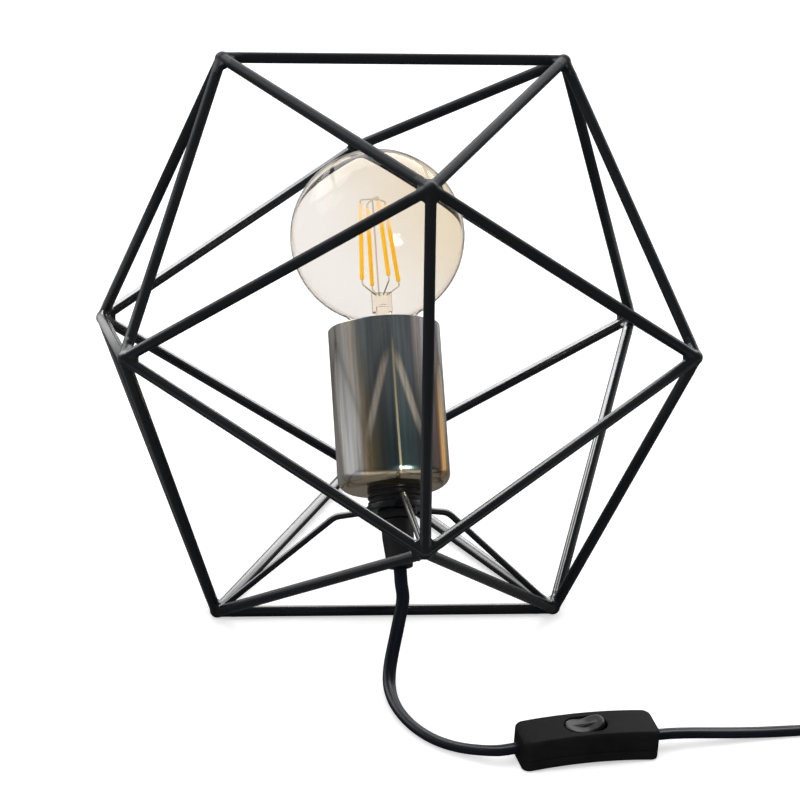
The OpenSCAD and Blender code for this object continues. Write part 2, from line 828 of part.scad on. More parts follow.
module plug_body() {
    nose = 0.72;
    corner_r = 4;
    sleeve_w = flex_w + 5;
    y0 = plug_sleeve_l;
    color("#161618")
        translate([plug_at.x, plug_at.y, 0]) {
            hull() for (side = [-1, 1]) {
                translate([side * (plug_w * nose / 2 - corner_r), y0 + corner_r, 0])
                    cylinder(h = plug_t, r = corner_r, $fn = 32);
                translate([side * (plug_w / 2 - corner_r), y0 + plug_l * 0.45, 0])
                    cylinder(h = plug_t, r = corner_r, $fn = 32);
                translate([side * (plug_w / 2 - corner_r), y0 + plug_l - corner_r, 0])
                    cylinder(h = plug_t, r = corner_r, $fn = 32);
            }
            translate([0, 0, plug_t / 2]) hull() {
                rotate([-90, 0, 0]) scale([1.5, 1, 1]) cylinder(h = 0.1, d = flex_t + 1.6, $fn = 32);
                translate([0, y0, 0])
                    rotate([-90, 0, 0]) scale([1.25, 1, 1]) cylinder(h = 2, d = sleeve_w, $fn = 32);
            }
        }
}

pin_face_y = plug_at.y + plug_sleeve_l + plug_l;
pin_sleeve_l = 10;
pin_core_d = pin_d - 0.8;
module plug_pins() {
    color("#b9b7b0")
        for (side = [-1, 1])
            translate([plug_at.x + side * pin_gap / 2, pin_face_y, plug_t / 2]) rotate([-90, 0, 0]) {
                cylinder(h = pin_sleeve_l, d = pin_core_d);
                translate([0, 0, pin_sleeve_l]) cylinder(h = pin_l - pin_sleeve_l - 1, d = pin_d);
                translate([0, 0, pin_l - 1]) cylinder(h = 1, d1 = pin_d, d2 = pin_d - 1.6);
            }
}

module pin_sleeves() {
    color("#161618")
        for (side = [-1, 1])
            translate([plug_at.x + side * pin_gap / 2, pin_face_y, plug_t / 2]) rotate([-90, 0, 0])
                pipe(pin_d, pin_core_d, pin_sleeve_l);
}

// Switch, in its own frame: X along the flex, the table at Z = 0

// A bar of the arched body between two heights over its underside, with rounded plan corners
module arched(from, to, wide, long, corner_r) {
    intersection() {
        translate([0, 0, arch_z]) rotate([90, 0, 0]) difference() {
            cylinder(h = wide + 2, r = arch_r + to, center = true, $fn = 360);
            cylinder(h = wide + 4, r = arch_r + from, center = true, $fn = 360);
        }
        rounded_block(wide, long, corner_r);
    }
}

module rounded_block(wide, long, corner_r) {
    tall = switch_h + switch_arch + 4;
    translate([0, 0, -1]) {
        translate([corner_r - long / 2, -wide / 2, 0]) cube([long - 2 * corner_r, wide, tall]);
        translate([-long / 2, corner_r - wide / 2, 0]) cube([long, wide - 2 * corner_r, tall]);
        for (sx = [-1, 1], sy = [-1, 1])
            translate([sx * (long / 2 - corner_r), sy * (wide / 2 - corner_r), 0])
                cylinder(h = tall, r = corner_r);
    }
}

switch_corner = 4;
inner_l = switch_l - 2 * switch_wall;
inner_w = switch_w - 2 * switch_wall;
inner_corner = switch_corner - switch_wall;
screw_d = 2.6;
head_d = 4.2;
head_h = 1;
boss_d = 4.4;
screw_at = [switch_l / 2 - 7.9, inner_w / 2 - boss_d / 2 - 0.4, switch_arch - 0.95];
clamp_x = switch_l / 2 - 4.2;

module flex_hole() {
    translate([0, 0, entry_z]) rotate([0, 90, 0]) {
        cube([flex_t + 2 * run_gap, flex_core, switch_l + 4], center = true);
        for (side = [-1, 1])
            translate([0, side * flex_core / 2, 0])
                cylinder(h = switch_l + 4, d = flex_t + 2 * run_gap, center = true);
    }
}

module switch_base() {
    color("#18181a")
        in_switch() difference() {
            union() {
                difference() {
                    arched(0, base_h, switch_w, switch_l, switch_corner);
                    arched(switch_wall, base_h + 2, inner_w, inner_l, inner_corner);
                }
                // Stop for the seesaw on the open side
                translate([pivot_x + seesaw_l / 2 - 1.6, -seesaw_w / 2, switch_arch + 1])
                    cube([1.6, seesaw_w, seesaw_low - seat_gap - switch_arch - 1]);
            }
            flex_hole();
            for (side = [-1, 1])
                translate([side * screw_at.x, side * screw_at.y, 0]) {
                    cylinder(h = switch_h, d = screw_d);
                    cylinder(h = screw_at.z + head_h + 0.1, d = head_d + 0.2);
                }
        }
}

boss_z = switch_arch + 1;
screw_l = 6;
module switch_cover() {
    slot_l = rocker_l + 2 * slot_end_gap;
    slot_w = rocker_w + 2 * slot_gap;
    lug_w = 1.6;
    lug_h = switch_h + switch_arch - pivot_z + 1.2;
    lug_z = switch_h + switch_arch - 1 - lug_h / 2;
    color("#18181a")
        in_switch() difference() {
            union() {
                difference() {
                    arched(base_h, switch_h, switch_w, switch_l, switch_corner);
                    arched(base_h - 2, switch_h - switch_wall, inner_w, inner_l, inner_corner);
                }
                for (side = [-1, 1]) {
                    translate([pivot_x, side * (slot_w + lug_w) / 2, lug_z])
                        cube([5, lug_w, lug_h], center = true);
                    translate([side * screw_at.x, side * screw_at.y, boss_z])
                        cylinder(h = switch_h - boss_z - 0.5, d = boss_d);
                }
            }
            for (side = [-1, 1])
                translate([side * screw_at.x, side * screw_at.y, 0])
                    cylinder(h = boss_z + screw_l, d = screw_d + 2 * run_gap);
            translate([pivot_x, 0, switch_h - switch_wall - 1]) round_ended(slot_l, slot_w, switch_h);
            translate([pivot_x, 0, pivot_z]) rotate([90, 0, 0])
                cylinder(h = switch_w - 2 * switch_wall - 1, d = pivot_pin_d + 2 * run_gap, center = true);
            flex_hole();
        }
}

module round_ended(long, wide, tall) {
    translate([-(long - wide) / 2, -wide / 2, 0]) cube([long - wide, wide, tall]);
    for (side = [-1, 1]) translate([side * (long - wide) / 2, 0, 0]) cylinder(h = tall, d = wide);
}

module on_rocker() {
    translate([pivot_x, 0, pivot_z]) rotate([0, -rocker_swing / 2, 0]) children();
}

// Rocker: two wings that meet in a shallow valley, on a stem that guides the plunger
module rocker() {
    high_end = 4.4;
    valley = 2.8;
    stem_w = 5;
    stem_l = 4.2;
    color("#131315")
        in_switch() on_rocker() difference() {
            union() {
                intersection() {
                    rotate([90, 0, 0]) linear_extrude(rocker_w + 2, center = true) polygon([
                        [-rocker_l / 2 - 1, 0.3], [-rocker_l / 2 - 1, high_end],
                        [-rocker_l / 2 + 1.2, high_end], [0, valley],
                        [rocker_l / 2 - 1.2, high_end], [rocker_l / 2 + 1, high_end],
                        [rocker_l / 2 + 1, 0.3], [3.5, -1.4], [-3.5, -1.4]
                    ]);
                    translate([0, 0, -3]) round_ended(rocker_l, rocker_w, 10);
                }
                translate([-stem_w / 2, -stem_w / 2, -stem_l]) cube([stem_w, stem_w, stem_l]);
            }
            rotate([90, 0, 0]) cylinder(h = rocker_w + 2, d = pivot_pin_d, center = true);
            translate([0, 0, -stem_l - 1])
                cylinder(h = stem_l + 1 - pivot_pin_d / 2 - 0.3, d = plunger_d + 2 * run_gap);
        }
}

module rocker_pin() {
    color("#b9b7b0")
        in_switch() translate([pivot_x, 0, pivot_z]) rotate([90, 0, 0])
            cylinder(h = rocker_w + 2 * slot_gap + 2.4, d = pivot_pin_d, center = true);
}

module plunger() {
    drop = pivot_z - plunger_tip;
    color("#e6e2d6")
        in_switch() on_rocker() {
            translate([0, 0, -drop + plunger_d / 2]) sphere(d = plunger_d);
            translate([0, 0, -drop + plunger_d / 2])
                cylinder(h = drop - plunger_d / 2 - 2.6, d = plunger_d);
        }
}

module plunger_spring() {
    color("#b9b7b0")
        in_switch() on_rocker() translate([0, 0, -2.6]) pipe(plunger_d - 0.2, plunger_d - 0.9, 1.2);
}

// Seesaw: a strip whose middle is bent into a saddle over the round bar of the fulcrum
module contact_seesaw() {
    color("#c9a84f")
        in_switch() translate([pivot_x, 0, seesaw_z])
            rotate([0, seesaw_tilt, 0])
                translate([0, seesaw_w / 2, 0]) rotate([90, 0, 0]) linear_extrude(seesaw_w) difference() {
                    union() {
                        translate([-seesaw_l / 2, 0]) square([seesaw_l, seesaw_t]);
                        intersection() {
                            circle(r = saddle_r + seesaw_t);
                            translate([-seesaw_l / 2, 0]) square(seesaw_l);
                        }
                    }
                    circle(r = saddle_r);
                }
}

// Posts: the fulcrum with its bar under the seesaw's middle, and the closing contact
module contact_posts() {
    floor_z = switch_arch + switch_wall - 0.2;
    post_t = 1.6;
    stem_t = 0.7 * fulcrum_d;
    bar_w = seesaw_w + 0.6;
    closing_x = seesaw_l / 2 - 1.6;
    closing_z = seesaw_z - (closing_x + post_t / 2) * tan(seesaw_tilt) - seat_gap;
    color("#c9a84f")
        in_switch() {
            translate([pivot_x - stem_t / 2, -seesaw_w / 2, floor_z])
                cube([stem_t, seesaw_w, seesaw_z - floor_z]);
            translate([pivot_x, 0, seesaw_z]) rotate([90, 0, 0])
                cylinder(h = bar_w, d = fulcrum_d, center = true);
            translate([pivot_x - closing_x - post_t / 2, -seesaw_w / 2, floor_z])
                cube([post_t, seesaw_w, closing_z - floor_z]);
        }
}

switch_block = [5, 5, 5];
block_x = 16;
block_y = 4.6;
block_z = switch_wall + 0.9;
module switch_terminals() {
    color("#c9a84f")
        in_switch() for (sx = [-1, 1], sy = [-1, 1])
            translate([sx * block_x, sy * block_y, block_z + switch_block.z / 2]) difference() {
                cube(switch_block, center = true);
                cylinder(h = switch_block.z, d = 2);
            }
}

// Cores: the neutral runs through, the live goes to the fulcrum and the closing contact
module switch_cores() {
    colours = ["#2b4f8c", "#5a3a22"];
    z = block_z + switch_block.z / 2;
    clear = core_d / 4 + run_gap;
    in_switch() for (sx = [-1, 1], sy = [-1, 1])
        color(colours[(sy + 1) / 2])
            bar([sx * (switch_l / 2 - flex_in - clear), sy * (core_d / 2 + slip_gap), entry_z],
                [sx * (block_x + switch_block.x / 2 + clear), sy * (block_y - core_d / 2), z], core_d);
}

module switch_screws() {
    color("#3a3a3c")
        in_switch() for (side = [-1, 1])
            translate([side * screw_at.x, side * screw_at.y, screw_at.z]) {
                cylinder(h = head_h, d = head_d);
                cylinder(h = boss_z + screw_l - 0.5 - screw_at.z, d = screw_d);
            }
}

// Clamps: a bridge over the flex on two legs that stand on the base's floor
module cord_clamps() {
    bridge = [2.4, 10, 1.2];
    leg_w = (bridge.y - flex_w) / 2 - slip_gap;
    leg_foot = switch_wall + 0.6;
    top_z = entry_z + flex_t / 2 + run_gap;
    leg_h = top_z - leg_foot + bridge.z / 2;
    color("#18181a")
        in_switch() for (side = [-1, 1])
            translate([side * clamp_x - bridge.x / 2, 0, 0]) {
                translate([0, -bridge.y / 2, top_z]) cube(bridge);
                translate([0, -bridge.y / 2, leg_foot]) cube([bridge.x, leg_w, leg_h]);
                translate([0, bridge.y / 2 - leg_w, leg_foot]) cube([bridge.x, leg_w, leg_h]);
            }
}

base_rods();
lower_rods();
side_rods();
waist_rods();
upright_rods();
upper_rods();
top_rods();
corner_welds();
bracket_ring();
bracket_leg_front();
bracket_leg_left();
bracket_leg_right();
ring_welds();
spacer_collar();
lock_nut();
threaded_tube();
cord_grip();
clamp_screw();
holder_cup();
socket_base();
socket_sleeve();
screw_shell();
centre_contact();
socket_terminals();
socket_screws();
holder_lead();
holder_cores();
bulb_glass();
bulb_cap();
cap_insulator();
tip_contact();
glass_stem();
light_filaments();
filament_wires();
lamp_cord();
supply_cord();
cord_coil();
plug_cord();
coil_tie();
plug_body();
plug_pins();
pin_sleeves();
switch_base();
switch_cover();
rocker();
rocker_pin();
plunger();
plunger_spring();
contact_seesaw();
contact_posts();
switch_terminals();
switch_cores();
switch_screws();
cord_clamps();
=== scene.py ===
# %% [markdown]
# A wire table lamp stands on three corners of a welded cage. A globe lamp sits in a
# polished cup inside it, and a flat flex with a switch runs off to the right.
# The packed solids come in first and never move. They give every place and size, so
# what is made here is put over them, piece by piece.

# %% Load the packed lamp
import math
import bmesh
import bpy
from mathutils import Matrix, Vector


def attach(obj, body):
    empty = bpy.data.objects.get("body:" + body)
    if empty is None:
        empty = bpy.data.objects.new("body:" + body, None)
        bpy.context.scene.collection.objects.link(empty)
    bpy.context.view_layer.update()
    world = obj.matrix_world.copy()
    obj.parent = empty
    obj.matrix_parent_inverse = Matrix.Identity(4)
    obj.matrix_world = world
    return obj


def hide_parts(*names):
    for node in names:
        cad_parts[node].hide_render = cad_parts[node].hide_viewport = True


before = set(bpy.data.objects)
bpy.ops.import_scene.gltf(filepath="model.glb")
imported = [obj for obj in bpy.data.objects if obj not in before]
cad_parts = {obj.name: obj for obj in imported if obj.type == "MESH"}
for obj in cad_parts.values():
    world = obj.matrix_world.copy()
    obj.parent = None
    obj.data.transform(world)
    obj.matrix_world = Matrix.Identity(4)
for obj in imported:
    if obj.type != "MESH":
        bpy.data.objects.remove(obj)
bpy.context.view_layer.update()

# %% [markdown]
# The camera stands to the left of the front and looks down at the lamp through a long
# lens. Its three directions were solved from the twelve corners of the cage, so they are
# given as vectors and not as angles. The picture leans by about four degrees, as the
# photograph does.

# %% Camera
MM = 0.001
EYE = Vector((-242.46, -1643.08, 982.20)) * MM
RIGHT = Vector((0.99124247, -0.11727914, 0.06069578))
UP = Vector((0.00271371, 0.47762069, 0.87856195))
LENS = 185.04

camera_data = bpy.data.cameras.new("camera")
camera_data.lens = LENS
camera_data.sensor_width = 36
camera_data.clip_end = 20
camera = bpy.data.objects.new("camera", camera_data)
towards = RIGHT.cross(UP)
camera.matrix_world = Matrix.Translation(EYE) @ Matrix((RIGHT, UP, towards)).transposed().to_4x4()
bpy.context.collection.objects.link(camera)
bpy.context.scene.camera = camera
print("camera", [round(v, 3) for v in camera.location], "lens", LENS)

# %% [markdown]
# Node maths reads best as plain expressions. A small class wraps a node's output, so that
# a sum or a product of two of them adds the Math node by itself. Every other node comes
# from one method that takes the node's type, its settings and its inputs. It serves the
# materials, the world and the tree that makes the wires.

# %% Node helpers: sums of sockets, and one method for nodes
class Value:
    """A socket that can be used in sums. Each operator adds one Math node."""

    def __init__(self, owner, socket):
        self.owner = owner
        self.socket = socket

    def maths(self, operation, *others):
        return self.owner.node("ShaderNodeMath", {"operation": operation}, **{
            str(i): v for i, v in enumerate((self, *others))})

    def __add__(self, other): return self.maths("ADD", other)
    def __radd__(self, other): return self.maths("ADD", other)
    def __mul__(self, other): return self.maths("MULTIPLY", other)
    def __rmul__(self, other): return self.maths("MULTIPLY", other)
    def __sub__(self, other): return self.maths("SUBTRACT", other)

    def __rsub__(self, other):
        return self.owner.node("ShaderNodeMath", {"operation": "SUBTRACT"}, **{"0": other, "1": self})

    def absolute(self):
        return self.maths("ABSOLUTE")

    def step(self, low, high, under=0.0, over=1.0):
        """One number below low and another above high, with a smooth change between."""
        return self.owner.node("ShaderNodeMapRange", {"interpolation_type": "SMOOTHSTEP"}, **{
            "0": self, "1": low, "2": high, "3": under, "4": over})


class Tree:
    """A tree of nodes, which all come from one method."""

    def __init__(self, tree):
        self.tree = tree

    def node(self, kind, settings=None, output=0, **inputs):
        """Adds a node and gives one of its outputs. An input is a socket's name or number."""
        made = self.tree.nodes.new(kind)
        for name, value in (settings or {}).items():
            if name == "stops":
                fill_ramp(made.color_ramp, value)
            else:
                setattr(made, name, value)
        for key, value in inputs.items():
            socket = made.inputs[int(key) if key.isdigit() else key.replace("_", " ")]
            if isinstance(value, Value):
                self.tree.links.new(value.socket, socket)
            else:
                socket.default_value = value
        return Value(self, made.outputs[output]) if made.outputs else None

    def parts(self, vector, letters):
        """Single coordinates of a vector, one for each letter."""
        return [self.node("ShaderNodeSeparateXYZ", output=letter, Vector=vector) for letter in letters]

    def rays(self, *kinds):
        """Flags that tell what kind of ray looks, such as Camera or Glossy."""
        return [self.node("ShaderNodeLightPath", output="Is " + kind + " Ray") for kind in kinds]


def fill_ramp(ramp, stops):
    """Gives a colour ramp its stops. All places come first, because they sort the stops."""
    while len(ramp.elements) < len(stops):
        ramp.elements.new(0.5)
    stops = sorted(stops)
    for element, (place, _) in zip(ramp.elements, stops):
        element.position = place
    for element, (_, colour) in zip(ramp.elements, stops):
        element.color = (*colour, 1.0)


for tool in (Value, Tree):
    print(tool.__name__, "knows", [name for name in vars(tool) if not name.startswith("_")])

# %% [markdown]
# A finish is one material: a Principled shader, and the nodes that vary it. What is the
# same all over is set on the shader's own sockets, and only what changes over the surface
# is linked. A pattern reads either the place on the object, in metres, or the piece's own
# surface map, so it stays on the piece when the camera moves.

# %% Node helpers: one material
class Finish(Tree):
    """One material: a Principled shader, and the nodes that vary it over the surface."""

    def __init__(self, name, colour, **plain):
        self.material = bpy.data.materials.new(name)
        self.material.use_nodes = True
        super().__init__(self.material.node_tree)
        self.shader = self.tree.nodes["Principled BSDF"]
        self.plain(Base_Color=(*colour, 1.0), **plain)

    def plain(self, **values):
        """Sets sockets of the shader. An underscore stands for the space in a name."""
        for name, value in values.items():
            self.shader.inputs[name.replace("_", " ")].default_value = value
        return self

    def vary(self, **values):
        """Links values to sockets of the shader."""
        for name, value in values.items():
            self.tree.links.new(value.socket, self.shader.inputs[name.replace("_", " ")])
        return self

    def place(self):
        """The place on the object, in metres."""
        return self.node("ShaderNodeTexCoord", output="Object")

    def surface(self):
        """The place on the piece's own surface map."""
        return self.node("ShaderNodeTexCoord", output="UV")

    def noise(self, scale, detail=3.0, vector=None):
        vector = vector or self.place()
        return self.node("ShaderNodeTexNoise", Vector=vector, Scale=scale, Detail=detail)

    def ramp(self, factor, stops):
        return self.node("ShaderNodeValToRGB", {"stops": stops}, Fac=factor)

    def mix(self, factor, a, b, blend="MIX"):
        """A colour between a and b. Each is a value, or three numbers."""
        a, b = (colour if isinstance(colour, Value) else (*colour, 1.0) for colour in (a, b))
        return self.node("ShaderNodeMix", {"data_type": "RGBA", "blend_type": blend}, output=2,
                         **{"0": factor, "6": a, "7": b})

    def bump(self, height, distance, strength=1.0):
        made = self.node("ShaderNodeBump", Height=height, Distance=distance, Strength=strength)
        return self.vary(Normal=made)


print("a finish knows", [name for name in vars(Finish) if not name.startswith("_")])

# %% [markdown]
# Most pieces are black, and black pieces only read as separate things when their gloss
# differs. The cage is lacquered. Its lower half has a clear coat that shows the room, more
# so on the far side, and its upper half is matt. The fittings are duller, the flex is soft
# plastic and the switch is fine matt plastic. Each finish varies a little in roughness,
# because no real surface is even.

# %% Black finishes
def lacquer():
    f = Finish("cage_lacquer", (0.01, 0.01, 0.011), Roughness=0.45, Specular_IOR_Level=0.03,
               Coat_IOR=1.45, Coat_Roughness=0.17)
    ripple, cloud = f.noise(420.0, 2.0), f.noise(60.0, 3.0)
    depth, height = f.parts(f.place(), "YZ")
    far_side = depth.step(-0.05, 0.02) * 0.35 + 0.65
    glossy = f.ramp(cloud, [(0.3, (0.0025, 0.003, 0.0045)), (0.7, (0.004, 0.005, 0.0065))])
    matt = f.ramp(cloud, [(0.3, (0.0075, 0.0085, 0.010)), (0.7, (0.0095, 0.011, 0.013))])
    f.vary(Roughness=cloud * 0.15 + 0.4, Coat_Weight=(1 - height.step(0.120, 0.175)) * far_side,
           Base_Color=f.mix(height.step(0.095, 0.175), glossy, matt))
    return f.bump(ripple, 0.00003, 0.5).material


def satin_black(name, low, high, tone=(0.009, 0.009, 0.010), grain=900.0, depth=0.00004, gloss=0.1):
    """Plastic or paint with a roughness between low and high, and a fine grain."""
    f = Finish(name, tone, Roughness=high, Specular_IOR_Level=gloss)
    cloud = f.noise(90.0, 4.0)
    dark, pale = (tuple(c * share for c in tone) for share in (0.8, 1.3))
    f.vary(Roughness=cloud * (high - low) + low, Base_Color=f.ramp(cloud, [(0.3, dark), (0.75, pale)]))
    return f.bump(f.noise(grain, 2.0), depth, 0.6).material


CAGE = lacquer()
FITTING = satin_black("fitting_lacquer", 0.22, 0.38)
GRIP = satin_black("grip_plastic", 0.34, 0.5)
FLEX = satin_black("flex_plastic", 0.34, 0.46, (0.005, 0.0065, 0.0105), 500.0, 0.00002, 0.06)
SWITCH = satin_black("switch_plastic", 0.45, 0.55, (0.0085, 0.0085, 0.009), 1500.0, 0.00003, 0.01)
ROCKER = satin_black("rocker_plastic", 0.26, 0.36, (0.007, 0.007, 0.0075), 1500.0, 0.00001, 0.06)
PLUG = satin_black("plug_plastic", 0.40, 0.55, (0.007, 0.007, 0.0075), 1200.0, 0.00003)
SOCKET = satin_black("socket_plastic", 0.35, 0.5, (0.016, 0.016, 0.017))
print("black finishes", [m.name for m in (CAGE, FITTING, GRIP, FLEX, SWITCH, ROCKER, PLUG, SOCKET)])

# %% [markdown]
# The flex is a flat twin cable: two round cores side by side under one sheath, so its
# section is a rounded bar with a shallow furrow along the middle. The furrow catches a
# thin line of light. The route's points are those of the solid; each has a roll, because
# the cable lies flat in some places and leans on its edge in others. A smooth curve is
# drawn through them, and the section is swept along it as one closed tube.

# %% Flex: section and curve
FLEX_W, FLEX_T = 6.0, 3.8


def flex_section(per_side=11, furrow=0.22):
    """The cable's outline as x and y: a half round at each side, and a furrow above and below."""
    core = (FLEX_W - FLEX_T) / 2
    shoulder = 0.35 * core
    points = []
    for side in (1, -1):
        for k in range(per_side):
            a = math.radians(-90 + 180 * k / (per_side - 1))
            points.append((side * (core + FLEX_T / 2 * math.cos(a)), side * FLEX_T / 2 * math.sin(a)))
        for x, depth in ((shoulder, furrow * 0.6), (0.0, furrow), (-shoulder, furrow * 0.6)):
            points.append((x * side, side * (FLEX_T / 2 - depth)))
    return points


def smooth_route(route, spacing=2.0):
    """Points and rolls along one Catmull-Rom curve through the route's points."""
    full = [(Vector(p), r) for p, r in route]
    before = (full[0][0] * 2 - full[1][0], full[0][1])
    after = (full[-1][0] * 2 - full[-2][0], full[-1][1])
    ends = [before] + full + [after]
    out = []
    for i in range(1, len(ends) - 2):
        (p0, a0), (p1, a1), (p2, a2), (p3, a3) = ends[i - 1:i + 3]
        n = max(2, round((p2 - p1).length / spacing))
        for k in range(n):
            t = k / n
            w = (-0.5 * t + t * t - 0.5 * t ** 3, 1 - 2.5 * t * t + 1.5 * t ** 3,
                 0.5 * t + 2 * t * t - 1.5 * t ** 3, -0.5 * t * t + 0.5 * t ** 3)
            out.append((p0 * w[0] + p1 * w[1] + p2 * w[2] + p3 * w[3],
                        a0 * w[0] + a1 * w[1] + a2 * w[2] + a3 * w[3]))
    out.append(full[-1])
    return out


print("flex outline", len(flex_section()), "points")

# %% [markdown]
# Every piece is drawn in millimetres, as the CAD model is, and ends in the same way: its
# double points are merged, its faces point outwards, it is scaled to metres, and it gets
# its material, its smooth shading and its body. A skin over rings of points serves both
# the flex and the moulded parts.

# %% Helpers: from mesh to piece
def as_object(name, mesh):
    """An object made from a bmesh, which is freed."""
    data = bpy.data.meshes.new(name)
    mesh.to_mesh(data)
    mesh.free()
    made = bpy.data.objects.new(name, data)
    bpy.context.collection.objects.link(made)
    return made


def applied(thing):
    """The object's mesh with its modifiers applied."""
    return bpy.data.meshes.new_from_object(thing.evaluated_get(bpy.context.evaluated_depsgraph_get()))


def reopened(thing):
    """A bmesh of the object with its modifiers applied. The object itself is removed."""
    mesh = bmesh.new()
    mesh.from_mesh(applied(thing))
    bpy.data.objects.remove(thing)
    return mesh


def finish_mesh(name, mesh, material, slot, body="lamp", smooth_angle=40.0, outwards=False):
    """Turns a bmesh into a piece. outwards says that its faces point outwards already."""
    bmesh.ops.remove_doubles(mesh, verts=mesh.verts, dist=1e-5)
    if not outwards:
        bmesh.ops.recalc_face_normals(mesh, faces=mesh.faces)
    bmesh.ops.scale(mesh, vec=(MM, MM, MM), verts=mesh.verts)
    piece = as_object(name, mesh)
    piece.data.materials.append(material)
    piece.data.shade_smooth()
    if smooth_angle < 180:
        piece.data.set_sharp_from_angle(angle=math.radians(smooth_angle))
    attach(piece, body)
    return piece


def skin(rings, heights, wrap=False):
    """A bmesh over rings of points. heights are their v on the surface map. wrap joins the
    last ring to the first. Without it, both ends are closed."""
    mesh = bmesh.new()
    uv = mesh.loops.layers.uv.new("surface")
    verts = [[mesh.verts.new(p) for p in ring] for ring in rings]
    n = len(rings[0])
    for i in range(len(rings) if wrap else len(rings) - 1):
        one, two = verts[i], verts[(i + 1) % len(rings)]
        for k in range(n):
            j = (k + 1) % n
            face = mesh.faces.new((one[k], one[j], two[j], two[k]))
            for loop, (u, v) in zip(face.loops, ((k, i), (k + 1, i), (k + 1, i + 1), (k, i + 1))):
                loop[uv].uv = (u / n, heights[v])
    if not wrap:
        for ring in (verts[0], verts[-1]):
            mesh.faces.new(ring)
    return mesh


def sweep(name, points, section, material, **how):
    """A tube of the section along points, each with a roll in degrees, and its length in metres."""
    rings, run = [], [0.0]
    for i, (p, roll) in enumerate(points):
        way = (points[min(i + 1, len(points) - 1)][0] - points[max(i - 1, 0)][0]).normalized()
        across = way.cross(Vector((0, 0, 1))).normalized()
        upward = across.cross(way)
        c, s = math.cos(math.radians(roll)), math.sin(math.radians(roll))
        wide, thick = across * c + upward * s, upward * c - across * s
        rings.append([p + wide * x + thick * y for x, y in section])
        if i:
            run.append(run[-1] + (p - points[i - 1][0]).length)
    mesh = skin(rings, [length * MM for length in run])
    return finish_mesh(name, mesh, material, **how), run[-1] * MM


print("one millimetre is", MM, "m")

# %% [markdown]
# The cage's twelve corners all follow from one length, that of a rod. The holder stands
# on its own slanting axis: it starts at the middle of the lower front triangle, is tilted
# back to look at the far side of the cage, and leans two degrees in its bracket. One
# matrix takes a point from the holder's own upright frame to the table's.

# %% Frames of the holder and the switch
EDGE, ROD_D, BEAD_PROUD, BEAD_SIDES = 156.0, 5.0, 0.6, 12
FOOT = (ROD_D / 2 + BEAD_PROUD) * math.cos(math.pi / BEAD_SIDES)
GOLDEN = (1 + math.sqrt(5)) / 2
INNER = EDGE / math.sqrt(3)
OUTER = GOLDEN * INNER
LEVELS = (0.0, INNER, OUTER, GOLDEN * OUTER)
HOLDER_LEAN, LEAN_AT, FACE_TILT = 2, 45, math.asin(2 / 3)
SWITCH_PLACE, SWITCH_TURN = (74.4, -162.6, 0), 8


def corners(radius, first, z):
    """Three corners of the cage, a third of a turn apart."""
    return [Vector((radius * math.cos(math.radians(first + 120 * k)),
                    radius * math.sin(math.radians(first + 120 * k)), z + FOOT)) for k in range(3)]


FEET = corners(INNER, 90, LEVELS[0])
LOW = corners(OUTER, 270, LEVELS[1])
HIGH = corners(OUTER, 90, LEVELS[2])
TOP = corners(INNER, 270, LEVELS[3])
FACE_MID = (LOW[0] + FEET[1] + FEET[2]) / 3
HOLDER = (Matrix.Translation(FACE_MID) @ Matrix.Rotation(-FACE_TILT, 4, "X")
          @ Matrix.Translation((0, 0, LEAN_AT)) @ Matrix.Rotation(math.radians(-HOLDER_LEAN), 4, "Y")
          @ Matrix.Translation((0, 0, -LEAN_AT)))
SWITCH_AT = Matrix.Translation(SWITCH_PLACE) @ Matrix.Rotation(math.radians(SWITCH_TURN), 4, "Z")


def in_holder(x, y, z):
    return HOLDER @ Vector((x, y, z))


def in_switch(x, y, z):
    return SWITCH_AT @ Vector((x, y, z))


print("holder axis", [round(v, 4) for v in (in_holder(0, 0, 1) - in_holder(0, 0, 0))])

# %% [markdown]
# The first length of flex hangs from the grip to the table, curves forward along it and
# comes up into the switch. Its points are those of the CAD model's route, each with the
# roll of the cable there.

# %% Flex: from the holder to the switch
GRIP_END = 11.0


def unrolled(points):
    """Points of a route where the cable has no roll."""
    return [(p, 0) for p in points]


lamp_route = unrolled(in_holder(x, 0, z) for x, z in (
    (0, GRIP_END), (0, GRIP_END - 7), (0.3, GRIP_END - 14)))
lamp_route += [
    ((0.2, -86.5, 24.4), 0), ((-1.8, -92, 17.8), 0), ((-3.7, -97.4, 12.1), 4), ((-5.2, -103, 7.6), 10),
    ((-6, -109.5, 4.5), 20), ((-5.9, -116.5, 3.1), 28), ((-5, -124, 2.6), 30), ((-3.1, -132, 2.6), 28),
    ((0.1, -140, 2.5), 24), ((4.6, -147.5, 2.5), 18), ((10.4, -154.2, 2.7), 12),
    ((17.6, -159.8, 3.3), 8), ((25.6, -164.1, 4.4), 4)]
lamp_route += unrolled(in_switch(x, 0, z) for x, z in ((-40, 6.5), (-31, 7), (-24, 7)))
lamp_points = smooth_route(lamp_route)
lamp_flex, lamp_length = sweep("lamp_flex", lamp_points, flex_section(), FLEX, slot="flex_black")
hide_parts("lamp_cord")
print("flex to the switch", round(lamp_length, 4), "m")

# %% [markdown]
# The second length leaves the switch for the right. The rest of it is put away beyond the
# edge of the picture, stood on edge and wound in two layers: in along the table, up one
# step, and out on top. From there it comes down to the plug.

# %% Flex: from the switch to the plug
COIL_MID_R, COIL_LOW, COIL_LIFT, COIL_STEP, COIL_TURNS = 36.0, 3.7, 6.6, 4.4, 6.25
COIL_IN = COIL_MID_R - COIL_STEP * COIL_TURNS / 4
COIL_OUT = COIL_IN + COIL_STEP * COIL_TURNS / 2
COIL_START = Vector((235, -147.2, 0))
COIL_MID = COIL_START + Vector((0, COIL_OUT, 0))
PER_TURN = 24


